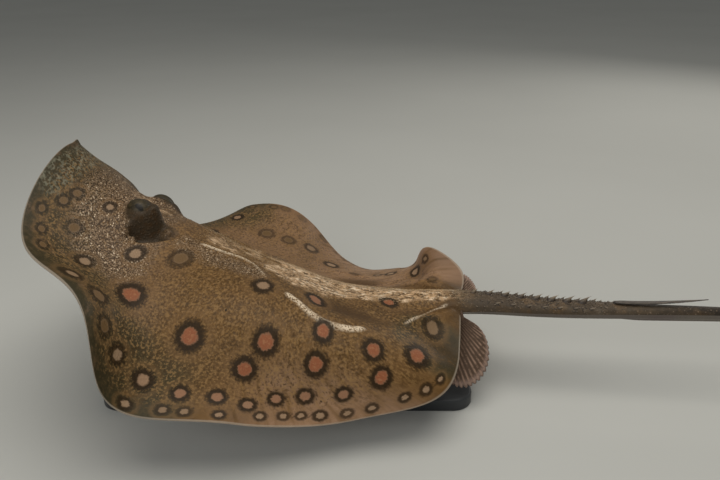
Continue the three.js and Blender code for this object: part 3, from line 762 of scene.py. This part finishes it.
skinLook = {
    "colours": {
        "ground": "6d4f2a", "umber": "4a3416", "gold": "78572a", "ash": "7c6350", "oliveAndShade": "3b3522",
        "moss": "4b432b", "rose": "b38f72", "sandAndSheen": "ddb78d", "earth": "3d2d1b", "bone": "fbe6c8",
        "fleck": "9f7c4d", "mealy": "9c8367", "hollow": "4b351c", "pepper": "1a120a", "halo": "84643f",
        "ring": "2e200e", "buff": "a2866a", "salmon": "96593a", "dull": "69502f", "speck": "ad7a56",
        "net": "9a9a84",
        "tail": "4c4236", "slate": "252320", "knob": "8a7866", "web": "59473a", "rib": "ab8d78",
        "margin": "a68c7e", "night": "3c3122", "cream": "d9d2c6", "lilac": "b9a8b0", "dusk": "6d5f55",
        "edge": "c4b6a4",
    },
    # noise over the flat animal: the size in millimetres of what it draws, its detail and roughness
    "noise": {"broad": (60, 2, 0.5), "patchy": (15, 3, 0.5), "mottle": (4.2, 3, 0.6), "fine": (1.9, 2, 0.6),
              "grit": (1.2, 2, 0.5)},
    # cells over it: how many millimetres apart the pebbles and the pepper dots lie
    "cells": {"pebble": 2.1, "dot": 11},
    # the coats of colour, from the first laid to the last: its colour, its strength, and where it lies,
    # as a thing that is read and the values between which the coat goes from none to full
    "coats": [
        ("umber", 0.6, ("patchy", 0.36, 0.66)),
        ("gold", 0.55, ("broad", 0.42, 0.6), ("mottle", 0.3, 0.6)),
        ("ash", 0.8, ("flatX", 0.16, 0.08), ("mottle", 0.2, 0.55)),
        # pinkish skin and painted light: rose laid over the far wing and the rear, streaked along the fin
        # rays
        ("rose", 0.85, ("rosyAndLit", 0, 1), ("rayed", 0.1, 0.6)),
        # olive skin and painted shade: moss and dark olive, darkest along the left front edge and in the
        # left rear cup
        ("moss", 0.9, ("oliveAndShade", 0, 0.5), ("patchy", 0.8, 0.35)),
        ("oliveAndShade", 0.95, ("oliveAndShade", 0.1, 0.8), ("mottle", 0.8, 0.42)),
        ("fleck", 0.65, ("fine", 0.48, 0.64), ("inset", 2, 20)),
        ("umber", 0.75, ("fine", 0.48, 0.34), ("inset", 2, 20)),
        ("earth", 0.85, ("grain", 0.2, 0.9), ("pebble", 0.28, 0.55)),
        ("mealy", 0.8, ("grain", 0.2, 0.8), ("grit", 0.46, 0.6)),
        ("bone", 0.95, ("grain", 0.3, 1.0), ("pebble", 0.36, 0.12), ("mottle", 0.42, 0.6)),
        # sandy skin and painted highlight: the pale sand, the near-white streaks and the dots on the band
        # stand partly for the sheen of light along the ridge
        ("sandAndSheen", 0.85, ("sandAndSheenUneven", 0.36, 0.72), ("mottle", 0.34, 0.56)),
        ("earth", 0.8, ("sandAndSheenUneven", 0.36, 0.7), ("streak", 0.5, 0.36)),
        ("bone", 0.95, ("sandAndSheenUneven", 0.5, 0.85), ("streak", 0.52, 0.64), ("patchy", 0.42, 0.56)),
        ("bone", 0.9, ("sandAndSheenUneven", 0.34, 0.75), ("pebble", 0.4, 0.14), ("fine", 0.44, 0.58)),
        ("hollow", 0.8, ("shade", 0, 1)),
        # painted highlight: near-white lines along the fold crests
        ("bone", 0.85, ("crease", 0.15, 0.8), ("grit", 0.34, 0.54)),
        ("net", 0.45, ("net", 0, 1), ("pebble", 0.4, 0.62), ("mottle", 0.35, 0.6)),
        ("pepper", 0.85, ("dot", 0.085, 0.05), ("dotChance", 0.55, 0.6)),
        ("halo", 0.35, ("spot", 1.0, 1.25), ("spot", 1.8, 1.3)),
        ("ring", 0.95, ("spot", 0.36, 0.54), ("spot", 1.22, 0.76), ("warmth", -1.6, 0.2)),
        ("buff", 0.9, ("spot", 0.6, 0.38)),
        ("salmon", 0.95, ("spot", 0.6, 0.38), ("warmth", -0.1, 0.7)),
        ("dull", 0.9, ("spot", 0.6, 0.38), ("warmth", -0.15, -0.5)),
        ("speck", 0.6, ("spot", 0.44, 0.32), ("fine", 0.5, 0.62), ("warmth", 0.3, 0.8)),
        ("tail", 0.95, ("tail", 0, 1), ("patchy", 0.1, 0.5)),
        ("slate", 0.9, ("flatX", 0.47, 0.6)),
        ("knob", 0.7, ("tail", 0.3, 1), ("pebble", 0.36, 0.1), ("fine", 0.42, 0.6)),
        ("web", 0.95, ("fan", 0.005, 0.04)),
        ("rib", 0.75, ("fan", 0.25, 0.85), ("rib", 0.35, 0.8), ("mottle", 0.3, 0.6)),
        ("margin", 0.75, ("fan", 0.9, 1.0)),
        # dark olive skin of the eye mounds, and painted shade in the spiracle pockets
        ("night", 0.94, ("dark", 0.1, 0.85)),
        ("hollow", 0.6, ("dark", 0.3, 0.9), ("mottle", 0.46, 0.66)),
        ("cream", 1.0, ("under", 0.45, 0.6)),
        ("lilac", 0.8, ("under", 0.45, 0.6), ("broad", 0.4, 0.62)),
        ("dusk", 0.8, ("under", 0.45, 0.6), ("insetUneven", 34, 18)),
        ("tail", 0.85, ("under", 0.45, 0.6), ("tail", 0, 1)),
        ("edge", 0.5, ("inset", 1.1, 0.3), ("fan", 0.01, 0)),
    ],
}


# the colour of the skin, as coats laid one over another. They follow the flat animal, so they do not
# slide where the wings bend. Also gives the things that the coats read
def paintSkin(tree):
    names = ("spot", "warmth", "inset", "under", "fan", "tail", "sandAndSheen", "oliveAndShade", "grain", "crease",
             "shade", "rosyAndLit", "dark", "net", "rib")
    read = {name: addNode(tree, "ShaderNodeAttribute", {}, "Fac", attribute_name=name) for name in names}
    flat, rays = [addNode(tree, "ShaderNodeAttribute", {}, "Vector", attribute_name=name)
                  for name in ("flat", "rays")]
    read["flatX"] = addNode(tree, "ShaderNodeSeparateXYZ", {0: flat})
    for name, (size, detail, rough) in skinLook["noise"].items():
        read[name] = addNode(tree, "ShaderNodeTexNoise", {"Vector": flat, "Scale": 1 / (size * mm),
                             "Detail": detail, "Roughness": rough}, "Fac")
    # streaks 2 mm wide and 7 mm long that run back along the band, whose border wavers with the noise; the
    # band's pale streaks are partly painted highlight
    stretched = addNode(tree, "ShaderNodeMapping", {"Vector": flat, "Scale": (0.28, 1.0, 1.0)})
    read["streak"] = addNode(tree, "ShaderNodeTexNoise", {"Vector": stretched, "Scale": 1 / (2.0 * mm),
                             "Detail": 2.0, "Roughness": 0.6}, "Fac")
    waver = addNode(tree, "ShaderNodeMath", {0: read["patchy"], 1: 1.4, 2: read["sandAndSheen"]},
                    operation="MULTIPLY_ADD")
    read["sandAndSheenUneven"] = addNode(tree, "ShaderNodeMath", {0: waver, 1: 0.7}, operation="SUBTRACT")
    read["rayed"] = addNode(tree, "ShaderNodeTexNoise", {"Vector": rays, "Scale": 1 / (2.2 * mm)}, "Fac")
    for name, size in skinLook["cells"].items():
        read[name] = addNode(tree, "ShaderNodeTexVoronoi", {"Vector": flat, "Scale": 1 / (size * mm)},
                             "Distance")
    read["dotChance"] = addNode(tree, "ShaderNodeSeparateColor", {0: read["dot"].node.outputs["Color"]})
    # ragged borders: each eye-spot's distance and the dusky margin's width waver with the noise
    waver = read["spot"]
    for noise, much in (("fine", 0.34), ("mottle", 0.22)):
        waver = addNode(tree, "ShaderNodeMath", {0: read[noise], 1: much, 2: waver},
                        operation="MULTIPLY_ADD")
    read["spot"] = addNode(tree, "ShaderNodeMath", {0: waver, 1: 0.28}, operation="SUBTRACT")
    read["insetUneven"] = addNode(tree, "ShaderNodeMath", {0: read["patchy"], 1: 20.0, 2: read["inset"]},
                                  operation="MULTIPLY_ADD")
    colours = skinLook["colours"]
    colour = colours["ground"]
    for name, strength, *places in skinLook["coats"]:
        share = strength
        for what, start, end in places:
            part = addNode(tree, "ShaderNodeMapRange", {0: read[what], 1: float(start), 2: float(end)},
                           interpolation_type="SMOOTHSTEP")
            share = addNode(tree, "ShaderNodeMath", {0: part, 1: share}, operation="MULTIPLY")
        layers = {0: share, 6: colour, 7: colours[name]}
        colour = addNode(tree, "ShaderNodeMix", layers, 2, data_type="RGBA")
    return colour, read


# living skin under a thin film of mucus: matt and finely granular, with a soft wet shine
def skinMaterial():
    material, tree, surface = newMaterial("mucousSkin")
    colour, read = paintSkin(tree)
    rough = addNode(tree, "ShaderNodeMapRange", {0: read["fine"], 1: 0.3, 2: 0.7, 3: 0.45, 4: 0.62})
    # relief: pebbles where the skin is granular, a fine tooth all over, and streaks along the fin rays
    pebbles = addNode(tree, "ShaderNodeMapRange", {0: read["pebble"], 1: 0.5, 2: 0.0, 3: 0.0, 4: 1.0})
    pebbles = addNode(tree, "ShaderNodeMath", {0: pebbles, 1: read["grain"]}, operation="MULTIPLY")
    tooth = pebbles
    for noise, much in (("fine", 0.7), ("grit", 0.45), ("rayed", 0.35)):
        tooth = addNode(tree, "ShaderNodeMath", {0: read[noise], 1: much, 2: tooth},
                        operation="MULTIPLY_ADD")
    relief = addNode(tree, "ShaderNodeBump", {"Strength": 0.7, "Distance": 0.0007, "Height": tooth})
    setInputs(tree, surface, {"Base Color": colour, "Roughness": rough, "IOR": 1.36, "Normal": relief,
                              "Specular IOR Level": 0.28, "Coat Weight": 0.06, "Coat Roughness": 0.28})
    return material


# the eyeball: a sphere round its gaze with a slight bulge at its front, flattened front to back and top
# to bottom. Its material reads the angle from the gaze, and how far ahead of it and above it a point is
def makeEye(name, side):
    centre = pose(eye["x"], side * eye["y"], eye["left" if side < 0 else "right"])
    along, across = boneAt(np.array(float(eye["x"])))[1:3]
    up = np.cross(along, across)
    gaze = unit(side * across * 0.9 + up * 0.42 - along * 0.12)
    ahead = unit(np.cross(gaze, up))
    over = np.cross(ahead, gaze)
    polar, turn = np.meshgrid(span(0, math.pi, 40), span(0, 2 * math.pi, 64)[:-1], indexing="ij")
    bulge = 1 + 0.035 * np.exp(-((polar / 0.55) ** 2))
    ball = (gaze * np.cos(polar)[..., None]
            + (ahead * np.cos(turn)[..., None] + over * np.sin(turn)[..., None]) * np.sin(polar)[..., None])
    ball = ball * (bulge * eye["radius"])[..., None]
    stretched = sum((ball @ axis)[..., None] * axis * factor
                    for axis, factor in zip((along, across, up), eye["stretch"]))
    points = centre + stretched
    index = roundGrid(*polar.shape)
    index[0], index[-1] = index[0, 0], index[-1, 0]
    used, faces = usedOnly(dropRepeats(patch(index)))
    piece = makePiece(name, points.reshape(-1, 3)[used], faces)
    polar, turn = polar.ravel()[used], turn.ravel()[used]
    giveValues(piece, polar=polar, rise=np.sin(polar) * np.sin(turn), ahead=np.sin(polar) * np.cos(turn))
    return piece


# the eye of a ray from above: a dark olive dome, mottled like the skin round it, with an olive-brown
# iris and a dark pupil on its outer side, all under a soft wet shine
def eyeMaterial():
    material, tree, surface = newMaterial("moistEye")
    polar, rise, ahead = [addNode(tree, "ShaderNodeAttribute", {}, "Fac", attribute_name=name)
                          for name in ("polar", "rise", "ahead")]
    where = addNode(tree, "ShaderNodeTexCoord", {}, "Object")
    mottle = addNode(tree, "ShaderNodeTexNoise",
                     {"Vector": where, "Scale": 1 / (2.2 * mm), "Detail": 3.0}, "Fac")
    share = addNode(tree, "ShaderNodeMapRange", {0: mottle, 1: 0.38, 2: 0.66})
    dome = addNode(tree, "ShaderNodeMix", {0: share, 6: "2e2717", 7: "443a24"}, 2, data_type="RGBA")
    iris = addNode(tree, "ShaderNodeMix", {0: share, 6: "2e2717", 7: "4e422a"}, 2, data_type="RGBA")
    share = addNode(tree, "ShaderNodeMapRange", {0: polar, 1: 0.62, 2: 0.8})
    colour = addNode(tree, "ShaderNodeMix", {0: share, 6: iris, 7: dome}, 2, data_type="RGBA")
    # the pupil is an ellipse, 0.34 of the eyeball's radius ahead and 0.2 up, on its outer half alone
    away = 0.0
    for part, half in ((ahead, 0.34), (rise, 0.2)):
        part = addNode(tree, "ShaderNodeMath", {0: part, 1: 1 / half}, operation="MULTIPLY")
        part = addNode(tree, "ShaderNodeMath", {0: part, 1: 2.0}, operation="POWER")
        away = addNode(tree, "ShaderNodeMath", {0: part, 1: away}, operation="ADD")
    back = addNode(tree, "ShaderNodeMapRange", {0: polar, 1: 1.2, 2: 1.4, 3: 0.0, 4: 9.0})
    away = addNode(tree, "ShaderNodeMath", {0: away, 1: back}, operation="ADD")
    share = addNode(tree, "ShaderNodeMapRange", {0: away, 1: 1.1, 2: 0.85})
    colour = addNode(tree, "ShaderNodeMix", {0: share, 6: colour, 7: "17120a"}, 2, data_type="RGBA")
    setInputs(tree, surface, {"Base Color": colour, "Roughness": 0.5, "Specular IOR Level": 0.3,
                              "Coat Weight": 0.1, "Coat Roughness": 0.3})
    return material


sting = {"from": 480, "to": 551, "half": 2.8, "thick": 2.2, "lift": 5.0, "teeth": 22}


# the sting: a flat blade that lifts off the tail towards its tip, with teeth along both edges that
# point back towards its root, and a shallow groove down the middle
def makeSting():
    t, v = np.meshgrid(span(0, 1, 132), span(-1, 1, 10), indexing="ij")
    x = sting["from"] + (sting["to"] - sting["from"]) * t
    tooth = (t * sting["teeth"]) % 1.0
    teeth = 0.55 * (1 - tooth) * smoothStep(0.22, 0.35, t) * (1 - smoothStep(0.93, 1, t))
    half = sting["half"] * (1 - t**3) * smoothStep(-0.06, 0.1, t) + 0.15 + teeth * np.abs(v) ** 6 - 0.25
    base = backHeight(x, 0 * x) + 0.4 + sting["lift"] * t**2
    groove = 1 - 0.25 * np.exp(-((v / 0.2) ** 2))
    thick = sting["thick"] * (1 - 0.6 * t) * np.sqrt(np.clip(1 - v**2, 0, 1)) * groove
    bone, _, across, up = boneAt(x)
    middle = bone + across * (v * half)[..., None]
    upper = middle + up * (base + sting["thick"] / 2 + thick / 2)[..., None]
    lower = middle + up * (base + sting["thick"] / 2 - thick / 2)[..., None]
    top = np.arange(t.size).reshape(t.shape)
    low = top + t.size
    low[:, 0], low[:, -1] = top[:, 0], top[:, -1]
    points = np.concatenate([upper.reshape(-1, 3), lower.reshape(-1, 3)])
    quads = np.concatenate([patch(top), patch(low, False)])
    ends = np.stack([top[0, :-1], top[0, 1:], low[0, 1:], low[0, :-1]], 1)
    tips = np.stack([top[-1, 1:], top[-1, :-1], low[-1, :-1], low[-1, 1:]], 1)
    used, faces = usedOnly(dropRepeats(np.concatenate([quads, ends, tips])))
    return makePiece("sting", points[used], faces)


# the sting is vasodentine, a bone-like blade under a dark sheath: dull, streaked lengthwise
def stingMaterial():
    material, tree, surface = newMaterial("sheathedBone")
    where = addNode(tree, "ShaderNodeTexCoord", {}, "Object")
    drawn = addNode(tree, "ShaderNodeMapping", {"Vector": where, "Scale": (0.12, 1, 1)})
    streak = addNode(tree, "ShaderNodeTexNoise",
                     {"Vector": drawn, "Scale": 1 / (0.8 * mm), "Detail": 3.0}, "Fac")
    share = addNode(tree, "ShaderNodeMapRange", {0: streak, 1: 0.4, 2: 0.66})
    colour = addNode(tree, "ShaderNodeMix", {0: share, 6: "2b2520", 7: "63574a"}, 2, data_type="RGBA")
    relief = addNode(tree, "ShaderNodeBump", {"Strength": 0.4, "Distance": 0.0002, "Height": streak})
    setInputs(tree, surface, {"Base Color": colour, "Roughness": 0.42, "Normal": relief})
    return material


# many small copies of one shape: each stands at a root on the skin, turned to its own three axes and
# scaled, and has a small patch of the unwrap at its root's place
def scatter(name, shape, faces, roots, axes, sizes, tone):
    shape = np.asarray(shape, float)
    points = roots["at"][:, None, :] + np.einsum("pk,nkc->npc", shape, axes) * sizes[:, None, None]
    count, per = len(sizes), len(shape)
    index = (np.asarray(faces)[None] + per * np.arange(count)[:, None, None]).reshape(-1, len(faces[0]))
    piece = makePiece(name, points.reshape(-1, 3), index.tolist())
    spread = shape[:, :2] / max(1e-6, np.abs(shape[:, :2]).max()) * 0.0015
    place = unwrap(roots["flat"], 0)[:, None, :] + spread[None]
    giveUnwrap(piece, place.reshape(-1, 2)[cornerPoints(piece)])
    giveValues(piece, tip=np.tile(shape[:, 2] / shape[:, 2].max(), count), tone=np.repeat(tone, per),
               flat=np.repeat(roots["flat"], per, 0) * mm)
    return piece


# roots on the back at x, y: the place in space, and axes back, across and out of the skin
def backRoots(x, y, sink):
    step = 0.4
    n = backHeight(x, y)
    at = pose(x, y, n)
    behind = pose(x + step, y, backHeight(x + step, y))
    beside = pose(x, y + step, backHeight(x, y + step))
    out = unit(np.cross(behind - at, beside - at))
    back = unit(behind - at)
    across = np.cross(out, back)
    flat = np.stack([x, y, n], 1)
    return {"at": at - out * sink, "flat": flat}, np.stack([back, across, out], 1)


# a thorn: rings that shrink to a point while they lean back over the foot, which is broad and ribbed
def thornShape(around, levels, lean, foot):
    rise = np.linspace(0, 1, levels + 1)[:, None]
    turn = np.arange(around) / around * 2 * math.pi
    radius = foot * (1 - rise) ** 1.35 + 0.03 * (1 - rise)
    ribbed = 1 + 0.16 * np.cos(turn * around / 2) * (1 - rise) ** 2
    x = lean * rise**1.8 + radius * 1.5 * np.cos(turn) * ribbed
    y = radius * np.sin(turn) * ribbed
    z = np.broadcast_to(rise, x.shape)
    points = np.stack([x, y, z], -1)[:-1].reshape(-1, 3)
    points = np.vstack([points, [lean, 0, 1]])
    index = roundGrid(levels, around)
    side = patch(index, False)
    cap = np.stack([index[-1, :-1], index[-1, 1:], np.full(around, len(points) - 1)], 1)
    return points, np.concatenate([side[:, [3, 0, 1]], side[:, [3, 1, 2]], cap])


thorns = {
    "ridge": {"count": 8, "from": 370, "gap": 12.3, "tall": 4.6, "growth": 0.28},
    "flank": {"count": 7, "from": 388, "gap": 12.3, "stagger": 4, "tall": 3.4, "out": 0.76},
    "lean": 1.0, "foot": 0.42, "sink": 0.5,
}


# thorns along the top of the tail, in one tall row with a lower row on each side
def makeThorns():
    rng = np.random.default_rng(21)
    ridge, flank = thorns["ridge"], thorns["flank"]
    step = np.arange(ridge["count"])
    x = ridge["from"] + ridge["gap"] * step
    y, tall = 0.0 * x, ridge["tall"] + ridge["growth"] * step
    for side in (-1, 1):
        own = flank["from"] + flank["gap"] * np.arange(flank["count"]) + flank["stagger"] * max(side, 0)
        x = np.concatenate([x, own])
        y = np.concatenate([y, side * flank["out"] * tailHalf(own)])
        tall = np.concatenate([tall, np.full(len(own), flank["tall"])])
    roots, axes = backRoots(x, y, thorns["sink"])
    shape, faces = thornShape(10, 7, thorns["lean"], thorns["foot"])
    return scatter("tailThorns", shape, faces, roots, axes, tall, rng.uniform(0.5, 1, len(x)))


denticles = {
    "tail": 760, "tailFrom": 356, "tailTo": 486, "back": 3400, "backFrom": 136, "backTo": 366,
    "lean": 0.8, "foot": 0.5, "sink": 0.15,
}


# small thorn-like scales: thick on the tail's root, and finer ones spread over the pale band down the back
def makeDenticles():
    rng = np.random.default_rng(5)
    count = denticles["tail"]
    x = rng.uniform(denticles["tailFrom"], denticles["tailTo"], count)
    y = rng.uniform(-0.93, 0.93, count) * tailHalf(x)
    size = 0.5 + 1.3 * rng.uniform(0, 1, count) ** 2.5
    count = denticles["back"]
    backX = rng.uniform(denticles["backFrom"], denticles["backTo"], count)
    backY = rng.uniform(-1, 1, count) * smoothThrough(*folds["band"], backX)
    x, y = np.concatenate([x, backX]), np.concatenate([y, backY])
    size = np.concatenate([size, rng.uniform(0.3, 0.75, count)])
    roots, axes = backRoots(x, y, denticles["sink"])
    turn = rng.normal(0, 0.35, len(x))[:, None]
    back, across = axes[:, 0].copy(), axes[:, 1].copy()
    axes[:, 0] = back * np.cos(turn) + across * np.sin(turn)
    axes[:, 1] = across * np.cos(turn) - back * np.sin(turn)
    shape, faces = thornShape(6, 3, denticles["lean"], denticles["foot"])
    return scatter("denticles", shape, faces, roots, axes, size, rng.uniform(0, 1, len(x)))


# pale enamel tips on dark feet, as on shark skin: dull brown on the tail, sandy on the back
def denticleMaterial():
    material, tree, surface = newMaterial("enamelledDenticle")
    flat, tip, tone = [addNode(tree, "ShaderNodeAttribute", {}, output, attribute_name=name)
                       for name, output in (("flat", "Vector"), ("tip", "Fac"), ("tone", "Fac"))]
    along = addNode(tree, "ShaderNodeSeparateXYZ", {0: flat})
    onTail = addNode(tree, "ShaderNodeMapRange", {0: along, 1: 0.34, 2: 0.375})
    foot = addNode(tree, "ShaderNodeMix", {0: onTail, 6: "8a7049", 7: "3d332b"}, 2, data_type="RGBA")
    dull = addNode(tree, "ShaderNodeMix", {0: tone, 6: "5d5044", 7: "a4937c"}, 2, data_type="RGBA")
    sandy = addNode(tree, "ShaderNodeMix", {0: tone, 6: "a98a5f", 7: "d8c29a"}, 2, data_type="RGBA")
    point = addNode(tree, "ShaderNodeMix", {0: onTail, 6: sandy, 7: dull}, 2, data_type="RGBA")
    share = addNode(tree, "ShaderNodeMapRange", {0: tip, 1: 0.2, 2: 0.85})
    colour = addNode(tree, "ShaderNodeMix", {0: share, 6: foot, 7: point}, 2, data_type="RGBA")
    setInputs(tree, surface, {"Base Color": colour, "Roughness": 0.4})
    return material


plate = {"corner": 16, "edge": 1.6, "foot": 0.6, "cap": 6, "cornerSteps": 12, "edgeSteps": 6}


# the stand's plate: a rounded rectangle carried up a profile with a soft upper edge, then closed
def makePlate():
    low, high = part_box("stand_base")
    centre = (np.array(low[:]) + np.array(high[:])) / 2 / mm
    halfX, halfY = (high[0] - low[0]) / 2 / mm, (high[1] - low[1]) / 2 / mm
    tall = high[2] / mm
    quarter = span(0, 90, plate["cornerSteps"]) * math.pi / 180
    outline, normal = [], []
    for k, (sx, sy) in enumerate(((1, 1), (-1, 1), (-1, -1), (1, -1))):
        turn = quarter + k * math.pi / 2
        middle = np.array([sx * (halfX - plate["corner"]), sy * (halfY - plate["corner"])])
        facing = np.stack([np.cos(turn), np.sin(turn)], 1)
        outline.append(middle + plate["corner"] * facing)
        normal.append(facing)
    outline, normal = np.concatenate(outline), np.concatenate(normal)
    bevel = span(0, 90, plate["edgeSteps"]) * math.pi / 180
    edge = plate["edge"]
    inset = np.concatenate([[plate["foot"], 0], edge * (1 - np.cos(bevel)), [edge + plate["cap"]]])
    level = np.concatenate([[0, plate["foot"]], tall - edge * (1 - np.sin(bevel)), [tall]])
    rings = [np.column_stack([outline - normal * inward + centre[:2], np.full(len(outline), z)])
             for inward, z in zip(inset, level)]
    piece = stackRings("stand_plate", rings)
    piece.data.polygons[-2].use_smooth = False
    piece.data.polygons[-1].use_smooth = False
    return piece


rod = {"radius": 4.0, "collar": 9.0, "collarTall": 4.0, "sunk": 0.8, "sides": 40}


# a rod with its turned foot collar: rings up a profile, the last of which follows the belly's slope
def makeRod(name, node):
    low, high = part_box(node)
    x, y = (low[0] + high[0]) / 2 / mm, (low[1] + high[1]) / 2 / mm
    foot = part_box("stand_base")[1][2] / mm
    turn = np.arange(rod["sides"]) / rod["sides"] * 2 * math.pi
    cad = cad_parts[node]
    own = np.array([v.co[:] for v in cad.data.vertices]) / mm
    caps = own[own[:, 2] > foot + 5]
    slope = np.linalg.lstsq(np.column_stack([caps[:, :2], np.ones(len(caps))]), caps[:, 2], rcond=None)[0]
    r, c, t = rod["radius"], rod["collar"], rod["collarTall"]
    profile = [(c - 0.5, 0), (c, 0.5), (c, t - 1), (c - 1, t), (r + 1.4, t), (r + 0.4, t + 0.5),
               (r, t + 1.4)]
    rings = [np.column_stack([x + radius * np.cos(turn), y + radius * np.sin(turn),
                              np.full(len(turn), foot + z)]) for radius, z in profile]
    ring = rings[-1][:, :2]
    rings.append(np.column_stack([ring, ring @ slope[:2] + slope[2] + rod["sunk"]]))
    piece = stackRings(name, rings)
    edges = piece.modifiers.new("edges", "EDGE_SPLIT")
    edges.split_angle = math.radians(35)
    return piece


# powder-coated steel: even and dark with the faint orange-peel of sprayed paint
def paintMaterial():
    material, tree, surface = newMaterial("powderCoatedSteel")
    where = addNode(tree, "ShaderNodeTexCoord", {}, "Object")
    peel = addNode(tree, "ShaderNodeTexNoise", {"Vector": where, "Scale": 1 / (1.4 * mm)}, "Fac")
    wear = addNode(tree, "ShaderNodeTexNoise",
                   {"Vector": where, "Scale": 1 / (45 * mm), "Detail": 3.0}, "Fac")
    colour = addNode(tree, "ShaderNodeMix", {0: wear, 6: "292b2d", 7: "35383b"}, 2, data_type="RGBA")
    rough = addNode(tree, "ShaderNodeMapRange", {0: wear, 1: 0.3, 2: 0.7, 3: 0.38, 4: 0.5})
    relief = addNode(tree, "ShaderNodeBump", {"Strength": 0.25, "Distance": 0.0002, "Height": peel})
    setInputs(tree, surface, {"Base Color": colour, "Roughness": rough, "Normal": relief})
    return material


# brushed stainless steel: hair-fine rings round the rod, drawn at 0.5 mm so that they show
def steelMaterial():
    material, tree, surface = newMaterial("brushedStainlessSteel")
    where = addNode(tree, "ShaderNodeTexCoord", {}, "Object")
    rings = addNode(tree, "ShaderNodeMapping", {"Vector": where, "Scale": (0.05, 0.05, 1)})
    brushed = addNode(tree, "ShaderNodeTexNoise", {"Vector": rings, "Scale": 1 / (0.5 * mm)}, "Fac")
    colour = addNode(tree, "ShaderNodeMix", {0: brushed, 6: "8e9092", 7: "b9bbbc"}, 2, data_type="RGBA")
    rough = addNode(tree, "ShaderNodeMapRange", {0: brushed, 1: 0.3, 2: 0.7, 3: 0.24, 4: 0.4})
    setInputs(tree, surface, {"Base Color": colour, "Metallic": 1.0, "Roughness": rough})
    return material


# a pale matt studio floor with a barely uneven tone
def floorMaterial():
    material, tree, surface = newMaterial("paleFloor")
    where = addNode(tree, "ShaderNodeTexCoord", {}, "Object")
    tone = addNode(tree, "ShaderNodeTexNoise",
                   {"Vector": where, "Scale": 1 / (400 * mm), "Detail": 3.0}, "Fac")
    colour = addNode(tree, "ShaderNodeMix", {0: tone, 6: "c4c5c0", 7: "cecfca"}, 2, data_type="RGBA")
    setInputs(tree, surface, {"Base Color": colour, "Roughness": 0.8})
    return material


studio = {
    "floor": 6.0, "aim": (-0.03, 0, 0.09), "sky": "e6e7e4", "skyPower": 0.2,
    "lamps": {
        "top": {"at": (0.0, -0.15, 1.5), "size": 1.4, "power": 12, "colour": "fffaf2"},
        "front": {"at": (-0.7, -1.3, 0.7), "size": 1.2, "power": 6, "colour": "f6f7f8"},
        "back": {"at": (0.9, 1.2, 0.8), "size": 0.7, "power": 3, "colour": "fffaf2"},
    },
}


# a wide floor, disc lamps turned towards the animal, and a dim, even sky
def makeStudio():
    mesh = bpy.data.meshes.new("floor")
    wide = studio["floor"]
    corners = [(-wide, -wide, 0), (wide, -wide, 0), (wide, wide, 0), (-wide, wide, 0)]
    mesh.from_pydata(corners, [], [(0, 1, 2, 3)])
    floor = bpy.data.objects.new("floor", mesh)
    bpy.context.scene.collection.objects.link(floor)
    mesh.materials.append(floorMaterial())
    for name, lamp in studio["lamps"].items():
        data = bpy.data.lights.new(name, "AREA")
        data.shape = "DISK"
        data.size = lamp["size"]
        data.energy = lamp["power"]
        data.color = linear(lamp["colour"])[:3]
        thing = bpy.data.objects.new(name, data)
        thing.location = lamp["at"]
        aim = np.array(studio["aim"]) - np.array(lamp["at"])
        tilt, turn = math.atan2(math.hypot(aim[0], aim[1]), -aim[2]), math.atan2(aim[0], -aim[1])
        thing.rotation_euler = (tilt, 0, turn + math.pi)
        bpy.context.scene.collection.objects.link(thing)
    world = bpy.data.worlds.new("studio")
    bpy.context.scene.world = world
    world.use_nodes = True
    background = world.node_tree.nodes["Background"]
    setInputs(world.node_tree, background, {"Color": studio["sky"], "Strength": studio["skyPower"]})


# gives a piece its material and body, and hides the plain solids that it stands for
def dress(piece, material, slot, *nodes):
    piece.data.materials.append(material)
    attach(piece, "root")
    if nodes:
        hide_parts(*nodes)


makeCamera()
flesh = ["snout", "head", "trunk", "pectoral_fin_left", "pectoral_fin_right", "pelvic_fin_left",
         "pelvic_fin_right", "tail_base", "tail_middle", "tail_tip"]
skinPiece = makeSkin()
dress(skinPiece, skinMaterial(), "skin", *flesh)
moist = eyeMaterial()
for side, node in ((-1, "eye_left"), (1, "eye_right")):
    dress(makeEye("eyeball_" + node[4:], side), moist, "eye", node)
print("eyes done")
dress(makeSting(), stingMaterial(), "sting", "sting")
enamel = denticleMaterial()
dress(makeThorns(), enamel, "skin")
dress(makeDenticles(), enamel, "skin")
print("sting, thorns and denticles done")
dress(makePlate(), paintMaterial(), "stand_paint", "stand_base")
steel = steelMaterial()
dress(makeRod("rod_front", "stand_rod_front"), steel, "rod_steel", "stand_rod_front")
dress(makeRod("rod_rear", "stand_rod_rear"), steel, "rod_steel", "stand_rod_rear")
makeStudio()
bpy.context.scene.view_settings.view_transform = "Standard"
print("stand and studio done")
